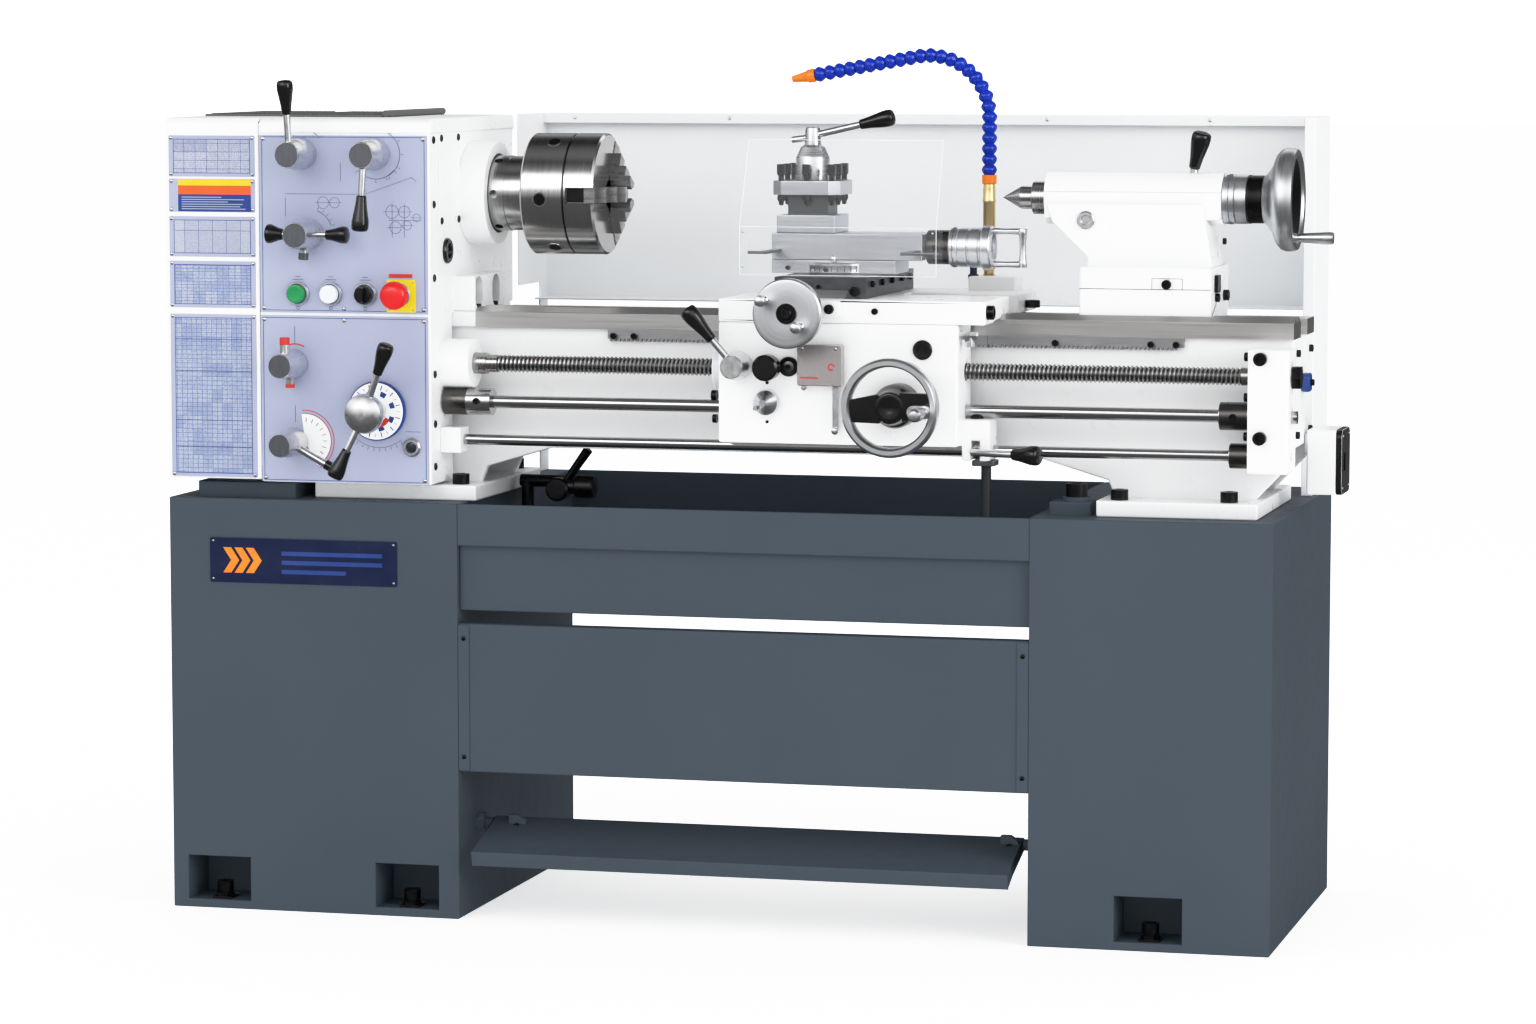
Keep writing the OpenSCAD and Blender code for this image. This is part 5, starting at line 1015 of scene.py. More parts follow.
def buildLevers():
    for node, size in levers.items():
        steel, black, face = bmesh.new(), bmesh.new(), bmesh.new()
        addHub(steel, face, size["at"], panelY, *size["hub"])
        turn(steel, (size["at"][0], -282.5, size["at"][1]), back, [(0, 0), (0, 8), (16, 8), (16, 0)], 32)
        for out, angle, reach, gripLength, gripRadius, lean in size["arms"]:
            start, way = armLine(size["at"], out, angle, lean)
            addArm(steel, black, start, way, reach, gripLength, gripRadius)
        if node == "range_lever":
            start, way = armLine(size["at"], 20, 184, 0)
            bar(steel, start, start + way * 36, 6)
            turn(face, start + way * 26, way, [(0, 0), (0, 7), (9, 7), (10, 5), (10, 0)], 24)
        if node == "feed_lever":
            start, way = armLine(size["at"], 40, 0, 0)
            bar(steel, start, start + way * 38, 6.5)
            low, stubWay = armLine(size["at"], 14, 184, 0)
            bar(steel, low, low + stubWay * 30, 6)
        if node == "thread_lever":
            start, way = armLine(size["at"], 22, 118, 0)
            bar(steel, start, start + way * 62, 5.5)
            turn(black, start + way * 60, way, [(0, 0), (0, 7), (12, 7), (14, 5), (14, 0)], 24)
        piece(node + "Hub", steel, satin, node, "satin_chrome", (node,))
        piece(node + "Face", face, hubFace, node, "satin_chrome")
        if black.verts:
            piece(node + "Grips", black, gripBlack, node, "black_plastic")
        else:
            black.free()
    # red tips of the feed lever's stub
    bm = bmesh.new()
    turn(bm, (-550.5, -322, 812), up, [(0, 6.6), (0, 7), (10, 7), (10, 6.6)], 24)
    turn(bm, (-552.4, -296, 755), down, [(0, 6.1), (0, 6.5), (5, 6.5), (5, 6.1)], 24)
    piece("feedLeverBands", bm, inkRed, "feed_lever", "red_plastic")
    # gearbox dial: white disc, wide knob and two handles
    at = (-426.5, 719)
    disc, steel, black, ticks = bmesh.new(), bmesh.new(), bmesh.new(), []
    turn(disc, (at[0], -282.5, at[1]), front, [(0, 0), (0, 39), (6, 41), (11, 40), (12, 39), (12, 0)], 72)
    rimRing = bmesh.new()
    turn(rimRing, (at[0], -282.5, at[1]), front,
         [(2.5, 40.8), (2.5, 41.8), (9, 41.8), (11, 40.6), (11, 39.8)], 72)
    piece("gearboxRim", rimRing, inkBlue, "gearbox_lever", "blue_plastic")
    piece("gearboxDisc", disc, white, "gearbox_lever", "white_plastic", ("gearbox_lever",))
    turn(steel, (at[0], -282.5, at[1]), front,
         [(0, 0), (0, 8), (12, 16), (44, 15), (50, 24), (56, 28), (62, 28), (68, 26),
                                                (74, 17), (76, 8), (76, 0)], 56)
    for angle, reach, gripLength in ((21, 106, 46), (205, 100, 44)):
        start, way = armLine(at, 60, angle, 6)
        addArm(steel, black, start, way, reach, gripLength, 11.6)
    piece("gearboxKnob", steel, satin, "gearbox_lever", "satin_chrome")
    piece("gearboxGrips", black, gripBlack, "gearbox_lever", "black_plastic")
    for i in range(24):
        t = math.radians(15 * i)
        ticks.append(((at[0] + 34 * math.cos(t), -294.5, at[1] + 34 * math.sin(t)), front, 7 if i % 2 else 4,
                      math.degrees(t)))
    spread("gearboxTicks", ticks, "mark", inkBlue, "gearbox_lever", "blue_plastic")
    bm = bmesh.new()
    for i in range(8):
        slab(bm, sector(22, 29, 10 + 45 * i, 28 + 45 * i, 6), (at[0], -294.4, at[1]), right, up, 0.4)
    piece("gearboxBlocks", bm, inkBlue, "gearbox_lever", "blue_plastic")
    solo("gearboxPointer", slab, (sector(17, 24, 250, 330, 14), (at[0], -294.4, at[1]), right, up, 0.6),
         inkRed, "gearbox_lever", "red_plastic")


def buildButtons():
    rings = bmesh.new()
    for x in (-544.5, -495.5, -444.5, -394.5):
        turn(rings, (x, panelY, 882), front, [(0, 14.3), (0, 17), (3.5, 17), (5.3, 15.6), (5.3, 14.3)], 48)
    piece("buttonRings", rings, satin, "stand", "satin_chrome")
    for node, x, finish, slot in (("start_button", -544.5, buttonGreen, "green_plastic"),
                                  ("jog_button", -495.5, buttonWhite, "white_plastic")):
        bm = bmesh.new()
        turn(bm, (x, -288, 882), front, [(0, 0), (0, 13), (6, 13), (7.5, 12), (8, 10.5), (7.6, 9), (7.4, 0)],
             48)
        turn(bm, (x, -288, 882), back, [(0, 0), (0, 9), (14, 9), (14, 0)], 32)
        piece(node + "Cap", bm, finish, node, slot, (node,))
    bm = bmesh.new()
    turn(bm, (-444.5, -288, 882), front, [(0, 0), (0, 13), (6, 13), (8, 12), (8, 0)], 48)
    turn(bm, (-444.5, -288, 882), back, [(0, 0), (0, 9), (14, 9), (14, 0)], 32)
    slab(bm, roundedOutline(7, 22, 3), (-444.5, -296, 882), right, up, 10)
    piece("selectorKnob", bm, gripBlack, "selector_knob", "black_plastic", ("selector_knob",), bevel=0.8)
    bm = bmesh.new()
    turn(bm, (-394.5, -288, 882), front, [(0, 0), (0, 12), (9, 12), (11, 17), (14, 19.6), (18, 20),
                                          (23, 18.5), (27, 14),
                                          (28.5, 8), (29, 0)], 56)
    turn(bm, (-394.5, -288, 882), back, [(0, 0), (0, 9), (14, 9), (14, 0)], 32)
    piece("stopMushroom", bm, buttonRed, "stop_button", "red_plastic", ("stop_button",))


buildLevers()
buildButtons()
print("levers and buttons built")

# rods: thread of the leadscrew, dark collars
rods = {"y": -220, "screwZ": 784, "feedZ": 730, "controlZ": 676, "threadFrom": -268, "threadTo": 786,
        "pitch": 6.0}


def buildRods():
    y, z = rods["y"], rods["screwZ"]
    length = rods["threadTo"] - rods["threadFrom"]
    # thread core in dark iron, much darker than the thread: painted shade in the grooves between the ridges
    solo("leadscrewRoot", turn, ((-268.5, y, z), right, [(0, 0), (0, 9.8), (1054, 9.8), (1054, 0)], 32),
         darkIron, "leadscrew", "black_steel")
    bm = bmesh.new()
    turn(bm, (-365.5, y, z), right, [(0, 0), (0, 12.5), (62.5, 12.5), (62.5, 15), (81, 15), (82, 12.4),
                                     (97, 12.4), (97, 0)], 40)
    turn(bm, (785.5, y, z), right, [(0, 0), (0, 12.3), (70, 12.3), (70, 0)], 40)
    bmesh.ops.recalc_face_normals(bm, faces=bm.faces)
    bmesh.ops.scale(bm, vec=(mm, mm, mm), verts=bm.verts)
    mesh = bpy.data.meshes.new("leadscrewThread")
    bm.to_mesh(mesh)
    bm.free()
    thing = bpy.data.objects.new("leadscrewThread", mesh)
    scene.collection.objects.link(thing)
    runTree(thing, trees["thread"], {"Radius": 10.6 * mm, "Turns": length / rods["pitch"],
                                     "Length": length * mm, "Ridge": 1.95 * mm,
                                     "Start": (rods["threadFrom"] * mm, y * mm, z * mm),
                                     "Finish": threadSteel})
    smooth(thing, 30)
    settle(thing, threadSteel, "leadscrew", ("leadscrew",))
    solo("leadscrewNut", slab, ([(17 * math.cos(math.radians(60 * i)),
                                  17 * math.sin(math.radians(60 * i))) for i in range(6)], (854.6, y, z),
                                  back, up, 12), blackSteel, "leadscrew", "black_steel", bevel=1)
    for name, x0, x1, r, h, body in (("feedSleeve", -348.4, -312, 19.15, rods["feedZ"], "feed_rod"),
                                     ("feedCollar", 756.4, 796.4, 19.15, rods["feedZ"], "feed_rod"),
                                     ("controlCollar", 770.4, 796.4, 17.15, rods["controlZ"], "control_rod")):
        solo(name, turn, ((x0, y, h), right, [(0, 9.2), (0, r - 1), (1, r), (x1 - x0 - 1, r),
                                              (x1 - x0, r - 1), (x1 - x0, 9.2)], 40), oiledSteel, body,
                                              "black_steel")
    spots = [((-296, y - 19, rods["feedZ"] + 2), front, 3), ((776.5, y - 19, rods["feedZ"]), front, 3.2)]
    spread("collarScrews", spots, "socket", blackSteel, "feed_rod", "black_steel")
    spots = [((797.5, y - 18, h), left, 4) for h in (812, 757, 704)] + [((-333, y + 12, 812), right, 3)]
    spread("bracketSideScrews", spots, "socket", blackSteel, "stand", "black_steel")
    casting("endBracketCasting", "end_bracket", white, "stand", 3)


buildRods()
print("rods built")

# carriage
carriage = {"wheel": (323, 741), "wheelRadius": 68, "cross": (179.5, 867), "crossRadius": 48,
            "compoundX": 322.7, "compoundZ": 949}


def buildApron():
    casting("saddleCasting", "saddle", white, "carriage", 3)
    casting("apronCasting", "apron", white, "carriage", 4)
    solo("screwCover", turn, ((49.6, -220, 784), right,
                              [(0, 14), (0, 29), (1.5, 30.4), (15, 30.4), (16.2, 30.4), (16.2, 14)], 56),
                              paleGrey, "carriage", "bright_steel")
    # interlock box with its small lever
    solo("interlockBox", slab, (roundedOutline(62.6, 56.6, 3), (214, -274.9, 794), right, up, 18.6), boxSteel,
         "carriage", "bright_steel", bevel=1)
    bm = bmesh.new()
    slab(bm, roundedOutline(9, 66, 4), (235, -280, 734), right, up, 5)
    turn(bm, (235, -285, 704), front, [(0, 0), (0, 5), (5, 5), (6, 3), (6, 0)], 20)
    turn(bm, (191, -285, 763), front, [(0, 0), (0, 4), (4, 4), (4, 0)], 16)
    piece("interlockLever", bm, satin, "carriage", "satin_chrome", bevel=0.8)
    spots = [((237, -293.6, 817), front, 2.2), ((190, -293.6, 817), front, 2.2)]
    spread("interlockScrews", spots, "dome", satin, "carriage", "bright_steel")
    bm = bmesh.new()
    slab(bm, sector(3, 5, 0, 300, 16), (231, -293.5, 792), right, up, 0.3)
    block(bm, (187, -293.8, 776), (212, -293.5, 778))
    piece("interlockMarks", bm, inkRed, "carriage", "red_plastic")
    # filler plug and oil sight
    bm = bmesh.new()
    turn(bm, (355, apronY, 816.5), front, [(0, 0), (0, 13.5), (3, 13.5), (4.5, 12), (4.5, 7), (3, 6.5),
                                           (3, 0)], 48)
    turn(bm, (355, -278, 816.5), front, [(0, 0), (0, 5.5), (2.4, 5.5), (2.4, 3), (1.2, 3), (1.2, 0)], 6)
    piece("fillerPlug", bm, gripBlack, "carriage", "black_plastic")
    solo("apronSight", turn, ((166.5, apronY, 790.5), front,
                              [(0, 8), (0, 13.5), (3, 13.5), (4.5, 12), (4, 8)], 48), blackSteel, "carriage",
                              "black_plastic")
    solo("sightLens", turn, ((166.5, apronY, 790.5), front,
                             [(0, 0), (0, 8.2), (2.6, 8.2), (3.4, 5), (3.6, 0)], 40), hubFace, "carriage",
                             "black_plastic")
    spots = [((166.5, -278.4, 790.5), front, 2.4), ((442, -262, 868), right, 6.5),
             ((452, 0, 861), up, 7), ((288, apronY, 868), front, 3), ((136, apronY, 768), front, 1.4),
             ((136, apronY, 714), front, 1.4), ((61, -262, 748), left, 5), ((61, -262, 716), left, 4)]
    spread("carriageScrews", spots, "socket", blackSteel, "carriage", "black_steel")
    # pipe fittings at the apron's right top
    bm = bmesh.new()
    turn(bm, (404, -262, 836), right, [(0, 0), (0, 6), (8, 6), (8, 9), (15, 9), (15, 6), (24, 6), (26, 4),
                                       (26, 0)], 6)
    turn(bm, (418, -262, 838), down, [(0, 0), (0, 5), (10, 5), (10, 7), (17, 7), (17, 0)], 20)
    piece("oilFitting", bm, satin, "carriage", "satin_chrome")
    # screw and dark bracket of the control block
    spread("blockScrew", [((420, -222, 715), up, 6)], "socket", blackSteel, "carriage", "black_steel")
    solo("hoseBracket", slab, (roundedOutline(32, 34, 4), (430, -214, 655), right, back, 7.8), hubFace,
         "carriage", "black_steel", bevel=1)


def buildHalfNut():
    steel, black, face = bmesh.new(), bmesh.new(), bmesh.new()
    addHub(steel, face, (96, 791), apronY, 43, 19)
    turn(steel, (96, -275.5, 791), back, [(0, 0), (0, 8), (20, 8), (20, 0)], 32)
    a, l = math.radians(-40), math.radians(6)
    start = Vector((96, -299, 791))
    addArm(steel, black, start, (math.cos(l) * math.sin(a), -math.sin(l), math.cos(l) * math.cos(a)), 104, 56,
           12.5)
    piece("halfNutHub", steel, satin, "halfnut_lever", "satin_chrome", ("halfnut_lever",))
    piece("halfNutFace", face, satin, "halfnut_lever", "satin_chrome")
    piece("halfNutGrip", black, gripBlack, "halfnut_lever", "black_plastic")
    steel, black = bmesh.new(), bmesh.new()
    start = Vector((422, -256, 676))
    bar(steel, (422, -232.2, 676), start, 5)
    turn(steel, (416.5, -220, 676), right, [(0, 7.8), (0, 12), (11, 12), (11, 7.8)], 32)
    s = math.radians(72)
    addArm(steel, black, start, (math.sin(s), -math.cos(s), 0), 104, 42, 13.5)
    turn(steel, start, (0, 0, 1), [(-5, 0), (-4, 3.5), (0, 5.2), (4, 3.5), (5, 0)], 20)
    piece("controlArm", steel, satin, "control_lever", "satin_chrome", ("control_lever",))
    piece("controlGrip", black, gripBlack, "control_lever", "black_plastic")


def buildCarriageWheel():
    (x, z), r = carriage["wheel"], carriage["wheelRadius"]
    rim, black, steel = bmesh.new(), bmesh.new(), bmesh.new()
    turn(rim, (x, -323, z), front, [(0, r - 11), (0, r - 4), (3, r - 1), (7, r), (15, r), (19, r - 1),
                                    (22, r - 4), (22, r - 10),
                                    (19, r - 12), (4, r - 13)], 96)
    turn(black, (x, -276, z), front, [(0, 0), (0, 30), (32, 30), (38, 27), (44, 24), (60, 22), (63, 20),
                                      (64, 15), (62, 6), (62, 0)], 56)
    for side in (-1, 1):
        u = Vector((side, 0, side * 0.09)).normalized()
        v = Vector((-u.z, 0, u.x))
        slab(black, [(16, -20), (r - 10, -15), (r - 10, 15), (16, 20)], Vector((x, -327, z)), u, v, 12)
    turn(steel, (x, -273, z), front, [(-20, 0), (-20, 8), (0, 8), (0, 0)], 32)
    hx, hz = x + r - 20, z - 5
    slab(steel, roundedOutline(34, 18, 8.5), (hx - 6, -336, hz), right, up, 6)
    turn(steel, (hx, -340, hz), front, [(0, 0), (0, 7), (6, 7), (8, 5.5), (20, 8), (38, 9.5), (56, 9),
                                        (60, 6), (61, 0)], 32)
    piece("carriageRim", rim, turnedMetal("rimMetal", (0.74, 0.75, 0.77), "Y", (x, -330, z), 0.36, 900, 0.05),
          "carriage_wheel", "satin_chrome", ("carriage_wheel",))
    piece("carriageHub", black, gripBlack, "carriage_wheel", "black_plastic", bevel=0.8)
    piece("carriageCrank", steel, satin, "carriage_wheel", "satin_chrome")


def buildCrossWheel():
    (x, z), r = carriage["cross"], carriage["crossRadius"]
    disc, black, steel = bmesh.new(), bmesh.new(), bmesh.new()
    turn(disc, (x, -288, z), front, [(0, 0), (0, 30), (12, 30), (13, 33), (15, 37), (16, 38), (33, 38),
                                     (34, r - 4), (36, r - 1),
                                     (38, r), (50, r), (52, r - 2), (52.6, r - 6), (52, 20), (52, 0)], 96)
    piece("crossDisc", disc, turnedMetal("crossMetal", (0.72, 0.73, 0.75), "Y", (x, -330, z), 0.38, 900,
                                         0.05), "cross_wheel", "satin_chrome", ("cross_wheel",))
    turn(black, (x, -340, z), front, [(0, 0), (0, 14), (2.5, 14), (2.5, 11), (1.2, 10.5), (1.2, 8), (4, 8),
                                      (5.5, 6.5), (5.5, 3), (3, 3), (3, 0)], 40)
    piece("crossCentre", black, blackSteel, "cross_wheel", "black_steel")
    turn(steel, (x, -288, z), back, [(0, 0), (0, 8), (42, 8), (42, 0)], 32)
    for dx, dz in ((-31, 18), (19, -18)):
        place = (x + dx, -340, z + dz)
        turn(steel, place, front, [(0, 0), (0, 6), (3, 6), (5, 4), (12, 6), (22, 8), (28, 7), (30, 4),
                                   (30, 0)], 28)
    piece("crossGrips", steel, satin, "cross_wheel", "satin_chrome")
    ticks = []
    for i in range(60):
        t = math.radians(6 * i)
        facing = (math.cos(t), 0, math.sin(t))
        ticks.append(((x + 38 * math.cos(t), -307 if i % 5 else -309, z + 38 * math.sin(t)), facing,
                      4 if i % 5 else 7, 0))
    spread("crossDialMarks", ticks, "mark", inkGrey, "cross_wheel", "black_plastic")
    # block that carries the wheel, and the bush behind it
    solo("crossBlock", slab, (roundedOutline(62, 22, 3), (210, apronY, 871), right, up, 13), white,
         "carriage", "white_paint", bevel=1.2)
    spots = [((227, -288, 871), front, 4.4)]
    spread("crossBlockScrew", spots, "socket", blackSteel, "carriage", "black_steel")


def buildSlides():
    casting("crossSlideBody", "cross_slide", darkIron, "cross_slide", 1.0)
    casting("swivelBody", "swivel_base", slideSteel, "swivel_base", 0.8)
    casting("topSlideBody", "top_slide", slideSteel, "top_slide", 1.2)
    spots = [((251, -240, 893), front, 4.6), ((200, -240, 899), front, 2)]
    spots += [((268.2, y, 902), right, 3.0) for y in (-210, -150, -90, -30, 20)]
    spread("crossSlideScrews", spots, "socket", blackSteel, "cross_slide", "black_steel")
    ticks = []
    for i in range(41):
        t = math.radians(-130 + 2 * i)
        facing = (math.cos(t), math.sin(t), 0)
        ticks.append(((196.5 + 51.4 * math.cos(t), -100 + 51.4 * math.sin(t), 921 if i % 5 else 919.5),
                      facing, 5 if i % 5 else 8, 90))
    spread("swivelScale", ticks, "mark", inkGrey, "swivel_base", "black_plastic")
    solo("swivelRing", turn, ((196.5, -100, 912.3), up,
                              [(0, 49), (0, 50.2), (1.2, 51.4), (14.2, 51.4), (15.4, 50.2), (15.4, 49)], 96),
                              turnedMetal("ringMetal", (0.68, 0.68, 0.69), "Z", (196.5, -100, 915), 0.28, 700,
                                          0.05), "swivel_base", "bright_steel")
    spots = [((188, -151, 918), (0, -1, 0.1), 2.0), ((130, -137.2, 920), front, 2.0)]
    spread("swivelScrews", spots, "socket", blackSteel, "swivel_base", "black_steel")
    solo("oilNipple", turn, ((196.5, -141, 930), (0, -0.3, 1),
                             [(0, 0), (0, 4), (4, 4), (6, 3), (8, 1.5), (8.6, 0)], 20), satin, "swivel_base",
                             "bright_steel")
    spots = [((x, -53, 940), back, 2.4) for x in (140, 200, 260)]
    spread("gibScrews", spots, "socket", blackSteel, "top_slide", "black_steel")


def buildCompound():
    x, z = carriage["compoundX"], carriage["compoundZ"]
    black, alloy = bmesh.new(), bmesh.new()
    turn(black, (x, slideY, z), right, [(0, 0), (0, 23), (1, 24), (31, 24), (32, 23.5), (32, 0)], 56)
    piece("compoundSleeve", black, oiledSteel, "compound_wheel", "black_steel", ("compound_wheel",))
    turn(alloy, (x, slideY, z), right, [(32.2, 0), (32.2, 26), (34, 27.5), (44, 27.5), (45, 26.5), (46, 27.5),
                                        (58, 28), (59, 26), (61, 26),
                                     (62, 28), (74, 28), (75, 26), (77, 26), (78, 29.5), (79, 30.5),
                                     (90, 30.5), (92, 29), (93, 20), (88, 14), (88, 0)], 72)
    piece("compoundDial", alloy, turnedMetal("dialMetal", (0.78, 0.79, 0.81), "X", (x, slideY, z), 0.36, 900,
                                             0.05), "compound_wheel", "satin_chrome")
    steel = bmesh.new()
    turn(steel, (x, slideY, z), left, [(0, 0), (0, 8), (25, 8), (25, 0)], 32)
    for side in (-1, 1):
        turn(steel, (x + 88, slideY, z + side * 23), right,
             [(0, 0), (0, 4), (8, 4.6), (22, 4), (40, 4.6), (46, 4), (46, 0)], 24)
    turn(steel, (x + 134, slideY, z - 27), up,
         [(0, 0), (0, 5.5), (2, 6.5), (7, 6), (20, 4.6), (34, 4.6), (47, 6), (52, 6.5), (54, 5.5), (54, 0)],
         28)
    turn(steel, (x + 88, slideY, z), right, [(0, 0), (0, 7), (4, 7), (5, 5), (5, 0)], 6)
    piece("compoundHandle", steel, satin, "compound_wheel", "satin_chrome")
    ticks = []
    for i in range(50):
        t = math.radians(7.2 * i)
        facing = (0, math.cos(t), math.sin(t))
        ticks.append(((x + 38 + (0 if i % 5 else 1), slideY + 27.5 * math.cos(t), z + 27.5 * math.sin(t)),
                      facing, 4 if i % 5 else 6, 90))
    spread("compoundMarks", ticks, "mark", inkGrey, "compound_wheel", "black_plastic")
    spread("sleeveScrew", [((x + 14, -119, z), front, 3.0)], "plug", blackSteel, "compound_wheel",
           "bright_steel")


buildApron()
buildHalfNut()
buildCarriageWheel()
buildCrossWheel()
buildSlides()
buildCompound()
print("carriage built")

# four-way tool post
post = {"x": 155.5, "y": slideY, "z": 968.2, "base": (84, 25), "core": (58, 28), "plate": (98, 20),
        "reach": 36.5}


def buildToolPost():
    x, y, z = post["x"], post["y"], post["z"]
    bright, dark, black = bmesh.new(), bmesh.new(), bmesh.new()
    slab(bright, roundedOutline(post["base"][0], post["base"][0], 2), (x, y, z), right, back, post["base"][1])
    z1 = z + post["base"][1]
    slab(dark, roundedOutline(post["core"][0], post["core"][0], 2), (x, y, z1 - 0.4), right, back,
         post["core"][1] + 0.8)
    z2 = z1 + post["core"][1]
    w = post["plate"][0] / 2
    cut = 15
    outline = [(w, cut - w), (w, w - cut), (w - cut, w), (cut - w, w), (-w, w - cut), (-w, cut - w),
               (cut - w, -w), (w - cut, -w)]
    slab(bright, outline, (x, y, z2), right, back, post["plate"][1])
    z3 = z2 + post["plate"][1]
    reach = post["reach"]
    for dx, dy in [(i, j) for i in (-1, 0, 1) for j in (-1, 0, 1) if i or j]:
        place = (x + dx * reach, y + dy * reach, z3)
        turn(black, place, up, [(-35, 0), (-34, 3), (-30, 3.5), (-28, 4.6), (-27, 5.6), (-21, 5.6),
                                (-20.5, 4), (7, 4), (8, 5.4), (9, 5.4), (9, 0)], 20)
        slab(black, roundedOutline(10.6, 10.6, 1.4, 3), (place[0], place[1], z3 + 9), right, back, 14)
    piece("postBlocks", bright, slideSteel, "tool_post", "bright_steel", ("tool_post",), bevel=1.2)
    piece("postCore", dark, darkIron, "tool_post", "dark_iron", bevel=0.8)
    piece("postScrews", black, blackSteel, "tool_post", "black_steel", bevel=0.4, angle=40)
    base = z + 73.2
    cone, black = bmesh.new(), bmesh.new()
    turn(cone, (x, y, base), up, [(0, 0), (0, 23), (1, 24), (31, 24), (34, 22.5), (46, 17), (47, 15),
                                  (49, 12), (70, 10.5), (73, 9.5), (74, 8), (74, 0)], 64)
    piece("clampCone", cone, turnedMetal("coneMetal", (0.55, 0.55, 0.56), "Z", (x, y, 1050), 0.26, 900, 0.08),
          "tool_lever", "bright_steel", ("tool_lever",))
    steel = bmesh.new()
    t = math.radians(77)
    addArm(steel, black, Vector((x, y, base + 62)), (math.sin(t), 0, math.cos(t)), 120, 50, 12, 4.8)
    bar(steel, (x, y, base + 60), (x - 30, y, base + 56), 4.5)
    piece("clampArm", steel, satin, "tool_lever", "satin_chrome")
    piece("clampGrip", black, gripBlack, "tool_lever", "black_plastic")


# clear folded shield
shield = {"x": (88.5, 366.5), "y": -246, "z": (914.5, 981), "lean": 22, "upper": 128, "side": 39, "thick": 3}


def buildShield():
    (x0, x1), (z0, z1) = shield["x"], shield["z"]
    y, t = shield["y"], shield["thick"]
    a = math.radians(shield["lean"])
    sheet, edges = bmesh.new(), bmesh.new()
    slab(sheet, roundedOutline(x1 - x0, z1 - z0, 2), ((x0 + x1) / 2, y + t, (z0 + z1) / 2), right, up, t)
    slope = Vector((0, math.sin(a), math.cos(a)))
    half = shield["upper"] / 2
    narrow = 1
    wide = (x1 - x0) / 2 - narrow
    outline = [(-wide, -half + 1), (wide, -half + 1), (wide, half - 9), (wide - 9, half), (9 - wide, half),
               (-wide, half - 9)]
    slab(sheet, outline, Vector(((x0 + x1) / 2, y + t, z1)) + slope * half, right, slope, t)
    for x in (x0, x1 - t):
        slab(sheet, [(1.2, z0 + 0.5), (shield["side"], z0 + 0.5), (shield["side"], z1 - 1), (1.2, z1 - 1)],
             (x, y + t, 0), back, up, t)
    piece("shieldSheet", sheet, shieldClear, "top_slide", "clear_sheet", ("chip_shield",))
    # bright strips along the polished edges: painted highlight where they catch the light
    edgeHighlight = molded("sheetEdge", (0.78, 0.84, 0.86), 0.12, 0.0)
    top = Vector((0, y + t * 0.5, z1)) + slope * shield["upper"]
    for p, q in (((x0, y + 1, z0), (x1, y + 1, z0)), ((x0, y + 1, z0), (x0, y + 1, z1)),
                 ((x1, y + 1, z0), (x1, y + 1, z1)),
                 ((x0, y + 1, z1), (x1, y + 1, z1)), ((x0 + narrow, top.y, top.z),
                                                      (x1 - narrow, top.y, top.z)),
                 ((x0, y + 1, z1), (x0 + narrow, top.y, top.z)),
                 ((x1, y + 1, z1), (x1 - narrow, top.y, top.z))):
        bar(edges, p, q, 0.4, 8)
    piece("shieldEdges", edges, edgeHighlight, "top_slide", "clear_sheet")
    arms = bmesh.new()
    for lo, hi in (((x0 + t, -207), (120.5, -213)), ((308.5, -207), (x1 - t, -213)),
                   ((108.5, -137), (120.5, -207.5)), ((308.5, -137), (320.5, -207.5))):
        block(arms, (lo[0], hi[1], 942), (hi[0], lo[1], 946))
    piece("shieldArms", arms, hubFace, "top_slide", "bright_steel", bevel=0.8)
    spots = [((x0 + 5, y, z), front, 1.8) for z in (926, 974)] + [((x1 - 5, y, 974), front, 1.8)]
    spread("shieldScrews", spots, "dome", satin, "top_slide", "bright_steel")


buildToolPost()
buildShield()
print("tool post and shield built")

# coolant pipe and ball-jointed hose
coolant = {"x": 378, "y": 50, "foot": 888, "top": 1033, "pitch": 15.0, "bend": 88, "rise": 74,
           "straight": 150, "tilt": 10}


def hosePoint(s):
    bend, rise, limit = coolant["bend"], coolant["rise"], 90 + coolant["tilt"]
    arc = bend * math.radians(limit)
    if s < rise:
        return 0, s
    if s < rise + arc:
        a = (s - rise) / bend
        return -bend * (1 - math.cos(a)), rise + bend * math.sin(a)
    a, d = math.radians(limit), s - rise - arc
    return -bend * (1 - math.cos(a)) - d * math.sin(a), rise + bend * math.sin(a) + d * math.cos(a)


